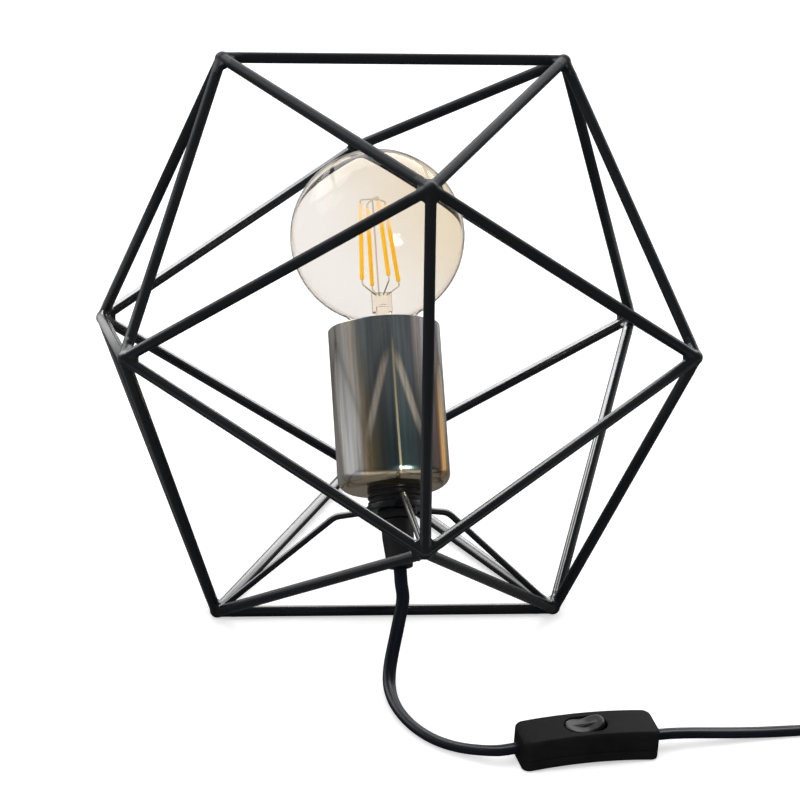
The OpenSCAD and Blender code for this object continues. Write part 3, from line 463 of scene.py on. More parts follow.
def coil_point(t):
    """The coil's point after t turns. The step up comes halfway."""
    r = COIL_IN + COIL_STEP * abs(t - COIL_TURNS / 2)
    s = min(max((t - COIL_TURNS / 2) * 2 + 0.5, 0), 1)
    a = math.radians(360 * t - 90)
    z = COIL_LOW + COIL_LIFT * s * s * (3 - 2 * s)
    return COIL_MID + Vector((r * math.cos(a), r * math.sin(a), z))


coil_exit = COIL_MID + Vector((COIL_OUT, 6, COIL_LOW + COIL_LIFT))
supply_route = unrolled(in_switch(x, 0, z) for x, z in ((24, 7), (31, 7), (39, 6.9)))
supply_route += [
    ((122, -156, 6.3), 0), ((133, -154.4, 5.1), 0), ((144, -152.6, 3.8), 0), ((155, -150.9, 2.8), 0),
    ((166, -149.4, 2.2), 0), ((177, -148.3, 2), 6), ((188, -147.6, 2.3), 18), ((199, -147.2, 2.7), 38),
    ((209, -147.2, 3.1), 58), ((219, -147.2, 3.5), 78), (COIL_START + Vector((-6, 0, COIL_LOW)), 90)]
supply_route += [(coil_point(k / PER_TURN), 90) for k in range(int(COIL_TURNS * PER_TURN) + 1)]
supply_route += [(coil_exit + Vector(p), r) for p, r in (
    ((0, 0, 0), 90), ((0, 6, 0), 90), ((0, 13, -0.4), 68), ((0, 20, -1.1), 42), ((0, 27, -2), 18),
    ((0, 34, -3.2), 4), ((0, 41, -3.4), 0))]
supply_points = smooth_route(supply_route, 3.0)
supply_flex, supply_length = sweep("supply_flex", supply_points, flex_section(7), FLEX,
                                   slot="flex_black")
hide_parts("supply_cord", "cord_coil", "plug_cord")
print("flex to the plug", round(supply_length, 4), "m")

# %% [markdown]
# Turned parts share one helper. It takes an outline in the holder's own frame, as radius
# and height, rounds the corners that ask for it, and spins it round the axis. The u of
# its surface map is the direction round the axis and v is the height, so that a finish
# can run up the side of the cup or round its rim.

# %% Helper: turned parts
def rounded(outline, steps=6):
    """Points of a closed outline. Each corner is x, y and, where it is round, a radius."""
    out = []
    for i, corner in enumerate(outline):
        p = Vector(corner[:2])
        if len(corner) < 3:
            out.append(p)
            continue
        a = (Vector(outline[i - 1][:2]) - p).normalized()
        b = (Vector(outline[(i + 1) % len(outline)][:2]) - p).normalized()
        half = a.angle(b) / 2
        reach = corner[2] / math.tan(half)
        mid = p + (a + b).normalized() * corner[2] / math.sin(half)
        start, end = p + a * reach - mid, p + b * reach - mid
        turn = start.angle_signed(end)
        for k in range(steps + 1):
            out.append(mid + Matrix.Rotation(-turn * k / steps, 2) @ start)
    return out


def spin(mesh, outline, sides, place):
    """Adds the outline, turned round the axis of place, to a bmesh in millimetres."""
    uv = mesh.loops.layers.uv.verify()
    area = sum(p[0] * q[1] - q[0] * p[1] for p, q in zip(outline, outline[1:] + outline[:1]))
    outline = outline if area > 0 else outline[::-1]
    low = min(p[1] for p in outline)
    high = max(p[1] for p in outline)
    rings = []
    for r, s in outline:
        if r < 1e-6:
            rings.append([mesh.verts.new(place @ Vector((0, 0, s)))] * sides)
        else:
            rings.append([mesh.verts.new(place @ Vector((
                r * math.cos(2 * math.pi * k / sides), r * math.sin(2 * math.pi * k / sides), s)))
                for k in range(sides)])
    for i in range(len(rings)):
        one, two = rings[i], rings[(i + 1) % len(rings)]
        v1, v2 = ((outline[j % len(outline)][1] - low) / (high - low) for j in (i, i + 1))
        for k in range(sides):
            j = (k + 1) % sides
            corners_of = [(one[k], k, v1), (one[j], k + 1, v1), (two[j], k + 1, v2), (two[k], k, v2)]
            kept = [c for n, c in enumerate(corners_of) if c[0] is not corners_of[n - 1][0]]
            if len({c[0] for c in kept}) < 3:
                continue
            face = mesh.faces.new([c[0] for c in kept])
            for loop, c in zip(face.loops, kept):
                loop[uv].uv = (c[1] / sides, c[2])


def turned(name, outline, material, sides=96, place=HOLDER, **how):
    """A piece turned round the axis of place."""
    mesh = bmesh.new()
    spin(mesh, outline, sides, place)
    return finish_mesh(name, mesh, material, outwards=True, **how)


print("sample arc", [tuple(round(v, 2) for v in p) for p in rounded([(0, 0), (4, 0, 1), (4, 4)], 2)])

# %% [markdown]
# The cage could be thirty-odd cylinders placed one by one. Its shape follows a rule
# instead: twelve corners of a regular solid, and a rod along each edge. So the edges are
# one bare mesh, and a Geometry Nodes tree turns every edge into a rod. The same tree,
# with a bend radius, makes the bracket's legs.

# %% Node tree: wires along edges
BEND_STEPS, ROUND_SIDES = 10, 28


def wire_tree():
    """The tree: edges to curves, bends rounded, a ring swept along them, and a finish."""
    group = bpy.data.node_groups.new("wire_along_edges", "GeometryNodeTree")
    for name, way, kind in (("Geometry", "INPUT", "Geometry"), ("Wire diameter", "INPUT", "Float"),
                            ("Bend radius", "INPUT", "Float"), ("Finish", "INPUT", "Material"),
                            ("Geometry", "OUTPUT", "Geometry")):
        group.interface.new_socket(name, in_out=way, socket_type="NodeSocket" + kind)
    tree = Tree(group)
    edges, diameter, bend, finish = (tree.node("NodeGroupInput", output=name) for name in (
        "Geometry", "Wire diameter", "Bend radius", "Finish"))
    line = tree.node("GeometryNodeMeshToCurve", Mesh=edges)
    line = tree.node("GeometryNodeFilletCurve", {"mode": "POLY"}, Curve=line, Count=BEND_STEPS,
                     Limit_Radius=True, Radius=bend)
    ring = tree.node("GeometryNodeCurvePrimitiveCircle", Resolution=ROUND_SIDES, Radius=diameter * 0.5)
    tube = tree.node("GeometryNodeCurveToMesh", Curve=line, Profile_Curve=ring, Fill_Caps=True)
    tube = tree.node("GeometryNodeSetShadeSmooth", Geometry=tube)
    tube = tree.node("GeometryNodeRealizeInstances", Geometry=tube)
    tube = tree.node("GeometryNodeSetMaterial", Geometry=tube, Material=finish)
    tree.node("NodeGroupOutput", Geometry=tube)
    return group


WIRE_TREE = wire_tree()


def wires(name, paths, diameter, bend, material, slot, body="lamp"):
    """A piece with one wire along each path of points, in millimetres."""
    lines = bmesh.new()
    for path in paths:
        verts = [lines.verts.new(Vector(p) * MM) for p in path]
        for a, b in zip(verts, verts[1:]):
            lines.edges.new((a, b))
    edges = as_object(name + "_lines", lines)
    modifier = edges.modifiers.new("wires", "NODES")
    modifier.node_group = WIRE_TREE
    sockets = {item.name: item.identifier for item in WIRE_TREE.interface.items_tree
               if item.in_out == "INPUT"}
    modifier[sockets["Wire diameter"]] = diameter * MM
    modifier[sockets["Bend radius"]] = bend * MM
    modifier[sockets["Finish"]] = material
    mesh = reopened(edges)
    bmesh.ops.scale(mesh, vec=(1 / MM, 1 / MM, 1 / MM), verts=mesh.verts)
    return finish_mesh(name, mesh, material, body=body, slot=slot)


print("wire tree inputs", [i.name for i in WIRE_TREE.interface.items_tree if i.in_out == "INPUT"])

# %% [markdown]
# The rods fall into seven groups, one for each node of the CAD model: round the base, up
# to the lower corners, up the sides, round the waist, up to the top, and round the top.
# One rod is left out at the back, because that gap is the lamp's way in. Each rod is cut
# short of its corners, where a weld takes over.

# %% Cage: rods
CORNERS = FEET + LOW + HIGH + TOP
ROD_ENDS = {
    "base_rods": [(FEET[k], FEET[(k + 1) % 3]) for k in range(3)],
    "lower_rods": [(FEET[k], LOW[(k + s) % 3]) for k in range(3) for s in (1, 2)],
    "side_rods": [(FEET[k], HIGH[k]) for k in (1, 2)],
    "waist_rods": [(LOW[k], HIGH[(k + s) % 3]) for k in range(3) for s in (1, 2)],
    "upright_rods": [(LOW[k], TOP[k]) for k in range(3)],
    "upper_rods": [(HIGH[k], TOP[(k + s) % 3]) for k in range(3) for s in (1, 2)],
    "top_rods": [(TOP[k], TOP[(k + 1) % 3]) for k in range(3)],
}
ROD_TRIM = 7.0


def trimmed(a, b):
    """Both ends of a rod, cut back from its corners."""
    way = (b - a).normalized()
    return [a + way * ROD_TRIM, b - way * ROD_TRIM]


for node, ends in ROD_ENDS.items():
    piece = wires("cage_" + node, [trimmed(a, b) for a, b in ends], ROD_D, 0.0, CAGE, "cage_black")
    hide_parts(node)
print("rods", sum(len(e) for e in ROD_ENDS.values()))

# %% [markdown]
# Three thinner wires carry the holder's ring. Each leaves a corner of the lower front
# triangle, runs up to a bend beside the ring and turns in flat to meet it. The wire tree
# rounds the bend, so a leg needs no more than three points.

# %% Bracket: its legs
RING_LIFT, RING_T, RING_D = 37.0, 3.0, 26.0
LEG_D, LEG_R, LEG_BEND, LEG_TRIM, LEG_IN = 3.0, 30.0, 9.0, 10.2, 0.3
LEG_Z = RING_LIFT + RING_T / 2
LEG_CORNERS = (LOW[0], FEET[1], FEET[2])


def leg_points(corner):
    """Where a leg leaves its weld, its bend, and its end in the ring."""
    root = HOLDER.inverted() @ corner
    flat = math.hypot(root.x, root.y)
    out = Vector((root.x / flat, root.y / flat, 0))
    bend = out * LEG_R + Vector((0, 0, LEG_Z))
    start = root + (bend - root).normalized() * LEG_TRIM
    end = out * (RING_D / 2 - LEG_IN) + Vector((0, 0, LEG_Z))
    return [HOLDER @ p for p in (start, bend, end)]


for node, corner in zip(("bracket_leg_front", "bracket_leg_left", "bracket_leg_right"), LEG_CORNERS):
    leg = wires(node.replace("bracket", "bent"), [leg_points(corner)], LEG_D, LEG_BEND, CAGE,
                "cage_black")
    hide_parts(node)
print("leg start", [round(v, 1) for v in leg_points(FEET[1])[0]])

# %% [markdown]
# The corner of a welded frame is a blob. Rods that simply run into each other would meet
# in sharp creases, which a painted weld never shows. So each corner is made from stubs of
# the rods that meet there, a ball, and webs between neighbouring stubs. A voxel remesh
# melts them into one skin, which is smoothed and then brought back to the rod's size at
# its ends.

# %% Cage: welded corners
BALL_R, BALL_IN = 3.5, 0.75
STUB_L, LEG_STUB_L, WEB_L, WEB_D = 9.4, 12.2, 6.5, 3.4
VOXEL, SMOOTH_ROUNDS = 0.42, 9
SKIN_REACH, PROUD, FLUSH, FLUSH_AFTER = 0.6, 0.035, 0.01, 0.8
ROD_FIT, LEG_FIT = (ROD_D / 2, 6.2, 7.8), (LEG_D / 2, 8.4, 10.2)


def turn_to(way):
    """The turn that lays the z axis along way."""
    return Vector((0, 0, 1)).rotation_difference(way).to_matrix().to_4x4()


def melted(parts):
    """One skin over overlapping closed parts, melted and smoothed, as a bmesh."""
    lump = as_object("melt", parts)
    remesh = lump.modifiers.new("melt", "REMESH")
    remesh.mode = "VOXEL"
    remesh.voxel_size = VOXEL
    relax = lump.modifiers.new("relax", "SMOOTH")
    relax.factor = 0.5
    relax.iterations = SMOOTH_ROUNDS
    return reopened(lump)


def stub(mesh, a, b, diameter, sides=32):
    """Adds a closed cylinder from a to b."""
    place = Matrix.Translation((a + b) / 2) @ turn_to(b - a)
    bmesh.ops.create_cone(mesh, cap_ends=True, segments=sides, radius1=diameter / 2,
                          radius2=diameter / 2, depth=(b - a).length, matrix=place)


def fitted(corner, point, way, radius, near, far):
    """The point drawn in to a wire's radius between near and far, or None off that wire."""
    offset = point - corner
    t = offset.dot(way)
    side = offset - way * t
    if t <= near or side.length >= radius + SKIN_REACH:
        return None
    share = min(1.0, (t - near) / (far - near))
    goal = radius + (FLUSH if t > far + FLUSH_AFTER else PROUD)
    return corner + way * t + side.normalized() * (side.length * (1 - share) + goal * share)


def corner_weld(corner):
    """The weld of one corner, as a bmesh in millimetres."""
    rods = [((b if (a - corner).length < 1 else a) - corner).normalized()
            for ends in ROD_ENDS.values() for a, b in ends
            if (a - corner).length < 1 or (b - corner).length < 1]
    legs = [(leg_points(root)[0] - corner).normalized()
            for root in LEG_CORNERS if (root - corner).length < 1]
    parts = bmesh.new()
    inside = sum(rods, Vector()).normalized()
    bmesh.ops.create_uvsphere(parts, u_segments=32, v_segments=20, radius=BALL_R,
                              matrix=Matrix.Translation(corner + inside * BALL_IN))
    for i, way in enumerate(rods):
        stub(parts, corner, corner + way * STUB_L, ROD_D)
        for other in rods[:i]:
            if way.dot(other) > 0.3:
                stub(parts, corner, corner + (way + other).normalized() * WEB_L, WEB_D)
    for way in legs:
        stub(parts, corner, corner + way * LEG_STUB_L, LEG_D)
    mesh = melted(parts)
    wires_here = [(way, *ROD_FIT) for way in rods] + [(way, *LEG_FIT) for way in legs]
    for v in mesh.verts:
        moved = (fitted(corner, v.co, *wire) for wire in wires_here)
        v.co = next((point for point in moved if point is not None), v.co)
    return mesh


joints = bmesh.new()
for corner in CORNERS:
    one = corner_weld(corner)
    data = bpy.data.meshes.new("one_weld")
    one.to_mesh(data)
    one.free()
    joints.from_mesh(data)
welds = finish_mesh("cage_welds", joints, CAGE, smooth_angle=180, slot="cage_black")
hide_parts("corner_welds")
print("welded corners", len(CORNERS), "faces", len(welds.data.polygons))

# %% [markdown]
# The holder is a stack on one threaded tube: nut, ring, collar and cup. Seen close, what
# tells turned metal from a plain cylinder is its edges, so each outline has small radii,
# and the collar has its two grooves. The grip below tapers to where the flex leaves it.

# %% Holder: ring, collar and grip
COLLAR_Z, COLLAR_H = RING_LIFT + RING_T, 7.0
CUP_Z = COLLAR_Z + COLLAR_H
BORE_R, RIB_R, GROOVE_R = 4.9, 12.5, 11.6
SLIT = 0.02  # keeps the faces of stacked parts out of one plane
ring = turned("bracket_ring_turned", rounded([
    (BORE_R, RING_LIFT), (RING_D / 2, RING_LIFT, 0.5), (RING_D / 2, RING_LIFT + RING_T, 0.5),
    (BORE_R, RING_LIFT + RING_T)], 4), CAGE, 64, slot="cage_black")
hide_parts("bracket_ring")

collar_side = [(RIB_R, SLIT, 0.5)]
for low, high in ((1.4, 2.8), (4.2, 5.6)):
    collar_side += [(RIB_R, low, 0.5), (GROOVE_R, low + 0.1, 0.3),
                    (GROOVE_R, high - 0.1, 0.3), (RIB_R, high, 0.5)]
collar_side += [(RIB_R, COLLAR_H - SLIT, 0.5)]
collar_outline = [(BORE_R, COLLAR_Z + SLIT), *((r, COLLAR_Z + z, turn) for r, z, turn in collar_side),
                  (BORE_R, COLLAR_Z + COLLAR_H - SLIT)]
collar = turned("ribbed_collar", rounded(collar_outline, 4), FITTING, 96, slot="fittings_black")
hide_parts("spacer_collar")

GRIP_TOP, GRIP_BORE, GRIP_LOW_R, GRIP_R = GRIP_END + 22.0, 3.6, 5.8, 7.2
grip_outline = rounded([
    (GRIP_BORE, GRIP_END), (GRIP_LOW_R, GRIP_END, 0.7), (GRIP_R, GRIP_END + 14.0, 6.0),
    (GRIP_R, GRIP_TOP, 0.9), (GRIP_BORE, GRIP_TOP)], 8)
grip = turned("tapered_grip", grip_outline, GRIP, 72, slot="grip_black")
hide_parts("cord_grip")
print("collar from", COLLAR_Z, "to", CUP_Z)

# %% [markdown]
# The nut under the ring is six-sided, with its corners cut back at both faces. A turned
# outline can't give that, so it is a skin over rings whose distance from the axis follows
# the hexagon up to a limit.

# %% Holder: nut
NUT_H, NUT_FLATS, NUT_BORE = 4.0, 16.0, 5.0
NUT_Z = RING_LIFT - NUT_H
FLAT_R, CUT_R, FULL_R = 8.1, 8.9, 20


def lofted(name, rings, material, place, wrap=False, **how):
    """A piece over rings of points, given in the frame of place."""
    heights = [i / len(rings) for i in range(len(rings) + 1)]
    mesh = skin([[place @ Vector(p) for p in ring] for ring in rings], heights, wrap)
    return finish_mesh(name, mesh, material, **how)


def nut_ring(z, limit, n=96):
    """Points of the hexagon at height z, none further from the axis than the limit."""
    points = []
    for k in range(n):
        a = 2 * math.pi * k / n
        r = min(NUT_FLATS / 2 / math.cos((a + math.pi / 6) % (math.pi / 3) - math.pi / 6), limit)
        points.append((r * math.cos(a), r * math.sin(a), z))
    return points


half_nut = ((SLIT, NUT_BORE), (SLIT, FLAT_R), (0.5, CUT_R), (0.8, FULL_R))
nut_side = list(half_nut) + [(NUT_H - z, limit) for z, limit in half_nut[::-1]]
nut = lofted("hex_nut", [nut_ring(NUT_Z + z, limit) for z, limit in nut_side], FITTING, HOLDER,
             wrap=True, smooth_angle=20, slot="fittings_black")
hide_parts("lock_nut")
print("nut from", NUT_Z, "to", RING_LIFT)

# %% [markdown]
# The cup is pressed from sheet and plated in a dark, warm nickel, which mirrors the room.
# Most of what it shows, though, is painted reflection in its colour: the room as upright
# bands, two legs of the cage that lean apart, one thin gold line between them, and a pale
# warm band round its foot. All are painted over the surface map, where u gives the
# direction round the cup. So each stays where it is when the cup is seen from another
# side. A little noise bends their edges and draws fine streaks, as on real plating.

# %% Holder: plated cup
def plated():
    f = Finish("cup_plating", (0.3, 0.3, 0.3), Metallic=1.0, Roughness=0.2)
    around, up = f.parts(f.surface(), "XY")
    turn = around * 360.0
    # Painted reflections of the room as upright bands round the cup: one row low, one high.
    low = f.ramp(around, [
        (0.00, (0.48, 0.45, 0.43)), (0.06, (0.12, 0.10, 0.08)), (0.14, (0.30, 0.31, 0.32)),
        (0.22, (0.09, 0.11, 0.12)), (0.30, (0.30, 0.24, 0.15)), (0.38, (0.12, 0.14, 0.15)),
        (0.46, (0.40, 0.36, 0.31)), (0.525, (0.95, 0.91, 0.85)), (0.556, (0.68, 0.65, 0.60)),
        (0.592, (0.52, 0.52, 0.515)), (0.622, (0.39, 0.39, 0.385)), (0.637, (0.48, 0.45, 0.40)),
        (0.655, (0.48, 0.37, 0.23)), (0.675, (0.27, 0.23, 0.145)), (0.700, (0.10, 0.105, 0.085)),
        (0.722, (0.070, 0.097, 0.105)), (0.745, (0.050, 0.082, 0.092)),
        (0.775, (0.060, 0.095, 0.090)), (0.800, (0.10, 0.135, 0.137)), (0.830, (0.09, 0.09, 0.10)),
        (0.885, (0.09, 0.05, 0.035)), (0.902, (0.80, 0.44, 0.13)), (0.925, (0.78, 0.46, 0.16)),
        (0.945, (0.60, 0.52, 0.46)), (0.975, (0.50, 0.47, 0.45))])
    high = f.ramp(around, [
        (0.00, (0.24, 0.23, 0.22)), (0.08, (0.30, 0.32, 0.33)), (0.17, (0.12, 0.13, 0.14)),
        (0.26, (0.34, 0.30, 0.24)), (0.36, (0.16, 0.17, 0.18)), (0.46, (0.24, 0.22, 0.20)),
        (0.547, (0.19, 0.175, 0.16)), (0.592, (0.28, 0.27, 0.26)), (0.622, (0.25, 0.22, 0.18)),
        (0.645, (0.20, 0.20, 0.18)), (0.675, (0.25, 0.29, 0.305)), (0.72, (0.27, 0.29, 0.30)),
        (0.77, (0.26, 0.30, 0.32)), (0.800, (0.26, 0.28, 0.30)), (0.818, (0.45, 0.41, 0.38)),
        (0.845, (0.36, 0.33, 0.33)), (0.88, (0.07, 0.065, 0.065)), (0.93, (0.25, 0.245, 0.24))])
    painted_reflection_bands = f.mix(up.step(0.12, 0.92), low, high)
    wave = f.noise(30.0, 2.0) - 0.5
    # Painted reflections of two legs of the cage, pale and leaning apart.
    for side, apex, run in ((-1, 266.5, 48.0), (1, 268.5, 45.0)):
        away = (turn + wave * 3 - ((0.85 - up) * run * side + apex)).absolute()
        leg = (1 - away.step(1.5, 5.5)) * up.step(0.2, 0.4) * (1 - up.step(0.66, 0.82))
        painted_reflection_bands = f.mix(leg, painted_reflection_bands, (0.80, 0.70, 0.58))
    # Painted reflection of one thin gold line between the legs.
    line = 1 - (turn + wave * 1.5 - 269.7).absolute().step(0.5, 1.6)
    painted_reflection_bands = f.mix(line * 0.9 * (1 - up.step(0.75, 0.9)), painted_reflection_bands, (0.95, 0.78, 0.45))
    streak = f.noise(1.0, 4.0, vector=f.node("ShaderNodeCombineXYZ", X=around * 110, Y=up * 1.5))
    streaks = f.ramp(streak, [(0.35, (0.74, 0.74, 0.74)), (0.6, (1.0, 1.0, 1.0))])
    painted_reflection_bands = f.mix(1.0, painted_reflection_bands, streaks, "MULTIPLY")
    # Painted reflection: a pale warm band round the foot.
    painted_foot_reflection = 1 - up.step(0.015, 0.06)
    f.vary(Base_Color=f.mix(painted_foot_reflection * 0.85, painted_reflection_bands, (0.95, 0.80, 0.56)),
           Roughness=f.noise(40.0) * 0.08 + 0.16)
    return f.material


PLATING_WITH_PAINTED_REFLECTIONS = plated()
CUP_H, CUP_R, CUP_IN_R = 75.0, 25.5, 24.3
RIM_Z = CUP_Z + CUP_H
cup = turned("plated_cup", rounded([
    (5.0, CUP_Z + SLIT), (CUP_R, CUP_Z + SLIT, 6.0), (CUP_R, RIM_Z, 0.55), (CUP_IN_R, RIM_Z, 0.5),
    (CUP_IN_R, CUP_Z + 1.2, 4.8), (5.0, CUP_Z + 1.2)], 12), PLATING_WITH_PAINTED_REFLECTIONS, 160, slot="cup_nickel")
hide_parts("holder_cup")
print("cup from", CUP_Z, "to", RIM_Z)

# %% [markdown]
# The globe is thin glass with a faint warm tint. A single skin would look like a soap
# bubble and a solid ball like a lens, so the glass has an outer and an inner wall, and
# light passes four surfaces on its way through. Its index is low, because a thin blown
# wall hardly bends what stands behind it, and a clear coat brings back the reflections.
# The tint is deeper towards the outline and at the upper right.

# %% Lamp: glass
LAMP_L, LAMP_IN, CAP_L = 118.0, 34.5, 26.0
TIP_Z = RIM_Z - LAMP_IN
CAP_TOP = TIP_Z + CAP_L
GLOBE_R, NECK_R, NECK_BEND, GLASS_T = 40.0, 14.5, 8.0, 0.8
GLOBE_Z = TIP_Z + LAMP_L - GLOBE_R
FOOT_R, FOOT_DROP = 12.7, 3
NECK_STEPS, BALL_STEPS = 16, 64


def globe_side(wall):
    """From the foot to the pole, on the outer side or a wall's thickness inside it."""
    r, neck, bend = GLOBE_R - wall, NECK_R - wall, NECK_BEND + wall
    down = math.sqrt((r + bend) ** 2 - (neck + bend) ** 2)
    join = math.atan2(down, neck + bend)
    points = [(FOOT_R - wall, CAP_TOP - FOOT_DROP + wall), (FOOT_R - wall, CAP_TOP + 1.0)]
    points += [(neck + bend - bend * math.cos(a), GLOBE_Z - down + bend * math.sin(a))
               for a in (join * k / NECK_STEPS for k in range(NECK_STEPS + 1))]
    top = [(r * math.cos(a), GLOBE_Z + r * math.sin(a))
           for a in (-join + (math.pi / 2 + join) * k / BALL_STEPS for k in range(1, BALL_STEPS + 1))]
    return points + top[:-1] + [(0.0, GLOBE_Z + r)]


def warm_glass(name, index, tint, edge):
    f = Finish(name, tint, Roughness=0.0, Transmission_Weight=1.0, IOR=index, Coat_IOR=1.5,
               Coat_Roughness=0.015)
    rim = f.node("ShaderNodeLayerWeight", output="Facing", Blend=0.5)
    film = f.noise(22.0, 2.0)
    side, top = f.parts(f.place(), "XZ")
    warmth = (side * 12 + (top - 0.156) * 10 + film * 0.8).step(0.0, 1.1)
    tone = f.mix(warmth, tint, tuple(c * k for c, k in zip(tint, (0.945, 0.885, 0.77))))
    f.vary(Base_Color=f.mix(rim.step(0.66, 0.93), tone, edge), Coat_Weight=film * 0.1 + 0.05)
    return f.bump(f.noise(18.0, 1.0), 0.0004, 0.08).material


GLASS = warm_glass("lamp_glass", 1.05, (0.815, 0.795, 0.775), (0.54, 0.47, 0.40))
STEM_GLASS = warm_glass("stem_glass", 1.4, (0.97, 0.90, 0.78), (0.45, 0.36, 0.25))
outline = globe_side(0.0) + globe_side(GLASS_T)[::-1]
globe = turned("glass_globe", outline, GLASS, 128, body="bulb", smooth_angle=50, slot="lamp_glass")
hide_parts("bulb_glass")
print("globe centre", GLOBE_Z, "top", GLOBE_Z + GLOBE_R)

# %% [markdown]
# Two finishes belong to the lamp's inside. The phosphor is a grainy yellow powder that is
# paler towards one end of each strip, and a faint glow of its own keeps it yellow behind
# the tinted glass. Small metal is bright, with fine streaks in its roughness.

# %% Lamp: finishes of its inside
def phosphor():
    f = Finish("filament_phosphor", (0.90, 0.52, 0.03), Roughness=0.45, Specular_IOR_Level=0.1,
               Emission_Strength=0.45)
    grains = f.noise(1500.0, 3.0)
    along, = f.parts(f.surface(), "Y")
    pale = along.step(0.60, 0.82)
    yellow = f.ramp(grains, [(0.3, (0.86, 0.47, 0.01)), (0.7, (0.94, 0.58, 0.04))])
    f.vary(Base_Color=f.mix(pale, yellow, (0.95, 0.72, 0.45)),
           Emission_Color=f.mix(pale, (0.9, 0.45, 0.0), (1.0, 0.66, 0.34)))
    return f.bump(grains, 0.0001, 0.5).material


def bright_steel(name, tone=(0.62, 0.61, 0.58), rough=0.28):
    f = Finish(name, tone, Metallic=1.0, Roughness=rough)
    streak = f.noise(300.0, 4.0)
    f.vary(Roughness=streak * 0.16 + (rough - 0.08))
    return f.bump(streak, 0.00002, 0.4).material


PHOSPHOR = phosphor()
STEEL = bright_steel("small_steel")
BRASS = bright_steel("contact_brass", (0.72, 0.53, 0.23), 0.26)
WIRE_METAL = bright_steel("support_wire", (0.86, 0.80, 0.70), 0.42)
print("finishes inside the lamp", [m.name for m in (PHOSPHOR, STEEL, BRASS, WIRE_METAL)])

# %% [markdown]
# Four light filaments stand round the glass stem: thin strips coated in the phosphor,
# which lean in towards their tops. Each is a small turned part with rounded ends, laid
# along the line between its two ends.

# %% Lamp: filaments
FIL_Z, FIL_L, FIL_D = GLOBE_Z - 22.0, 38.0, 1.9
STEM_TOP = GLOBE_Z - 27.0
FIL_TURN, FIL_LOW_R, FIL_HIGH_R, FIL_SHIFT = 17, 9.2, 6.2, 1.1
FIL_TAB = 0.8


def filament_ends(k):
    """The lower and the upper end of one filament, in the holder's frame."""
    a = math.radians(FIL_TURN + 90 * k)
    return [Vector((r * math.cos(a) - shift, r * math.sin(a), z)) for r, z, shift in (
        (FIL_LOW_R, FIL_Z, 0), (FIL_HIGH_R, FIL_Z + FIL_L, FIL_SHIFT))]


def filament_outline(length):
    r = FIL_D / 2
    return rounded([(0, FIL_TAB), (r, FIL_TAB, r * 0.8), (r, length - FIL_TAB, r * 0.8),
                    (0, length - FIL_TAB)], 5)


strips = bmesh.new()
for k in range(4):
    low, high = filament_ends(k)
    spin(strips, filament_outline((high - low).length), 20,
         HOLDER @ Matrix.Translation(low) @ turn_to(high - low))
filaments = finish_mesh("phosphor_filaments", strips, PHOSPHOR, body="bulb", slot="filament_yellow")
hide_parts("light_filaments")
print("filament length", round((high - low).length, 2))

# %% [markdown]
# Fine wires carry the filaments: one from the stem to each lower end, and one from each
# upper end to a mast in the middle. They are bent in one place each, so they are paths
# for the wire tree.

# %% Lamp: support wires
HUB_Z, TAB_L = FIL_Z + FIL_L + 1.6, 1.2
paths = []
for k in range(4):
    a = math.radians(FIL_TURN + 90 * k)
    low, high = filament_ends(k)
    way = (high - low).normalized()
    root = Vector((2.6 * math.cos(a), 1.2 * math.sin(a), STEM_TOP - 1))
    hub = Vector((0.9 * math.cos(a) - FIL_SHIFT, 0.9 * math.sin(a), HUB_Z))
    paths.append([root, low + Vector((0, 0, -1.2)), low + way * TAB_L])
    paths.append([high - way * TAB_L, high + Vector((0, 0, 0.9)), hub])
paths.append([Vector((-FIL_SHIFT, 0, STEM_TOP - 1)), Vector((-FIL_SHIFT, 0, HUB_Z))])
support = wires("support_wires", [[HOLDER @ p for p in path] for path in paths], 0.75, 0.8,
                WIRE_METAL, "small_steel", "bulb")
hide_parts("filament_wires")
print("support wires", len(paths))

# %% [markdown]
# The switch is two moulded shells that arch off the table a little. A cube with a bevel
# would miss the arch, the parting line and the slot, so each shell is a run of outlines
# in plan, one over the other. Every outline has the same number of points, and a last
# step bends all heights onto the arch.

# %% Switch: outlines and arch
SWITCH_L, SWITCH_W, SWITCH_H, BASE_H, ARCH, PLAN_R = 62.0, 20.0, 14.2, 5.0, 2.0, 3.8
ARCH_R = ((SWITCH_L / 2) ** 2 + ARCH ** 2) / (2 * ARCH)
PIVOT_X, PIVOT_Z = -1.0, ARCH + SWITCH_H - 3.4


def plan(half_l, half_w, r, at=0.0, long_n=22, short_n=6, arc_n=7):
    """Points of a rounded oblong, with the same count whatever its size."""
    r = min(r, half_w - 1e-4, half_l - 1e-4)
    points = []
    for cx, cy, start in ((1, 1, 0), (-1, 1, 90), (-1, -1, 180), (1, -1, 270)):
        for k in range(arc_n):
            a = math.radians(start + 90 * k / (arc_n - 1))
            points.append(Vector((at + cx * (half_l - r) + r * math.cos(a),
                                  cy * (half_w - r) + r * math.sin(a))))
        last = points[-1]
        if start in (0, 180):
            step, n = Vector((-2 * cx * (half_l - r), 0)), long_n
        else:
            step, n = Vector((0, -2 * cy * (half_w - r))), short_n
        points += [last + step * k / n for k in range(1, n)]
    return points


def arched(points, h):
    """Points of an outline at height h over the table, bent onto the arch."""
    centre = ARCH - ARCH_R
    return [(p.x, p.y, centre + math.sqrt((ARCH_R + h) ** 2 - p.x ** 2)) for p in points]


def between(one, two, n, h):
    """Outlines spaced evenly from one to the other, both ends left out."""
    return [arched([a.lerp(b, k / n) for a, b in zip(one, two)], h) for k in range(1, n)]


def shell_plan(inset, r):
    """The outline of the switch, drawn in by inset."""
    return plan(SWITCH_L / 2 - inset, SWITCH_W / 2 - inset, r)


print("outline of the switch", len(shell_plan(0, PLAN_R)), "points, arch radius", round(ARCH_R, 1))

# %% [markdown]
# The cover's outlines run up the outside, over the rounded edge and across the top to
# the slot for the rocker. They go down through it and back along the inside to the
# parting line, where the shell is drawn in a little on both sides of the joint.

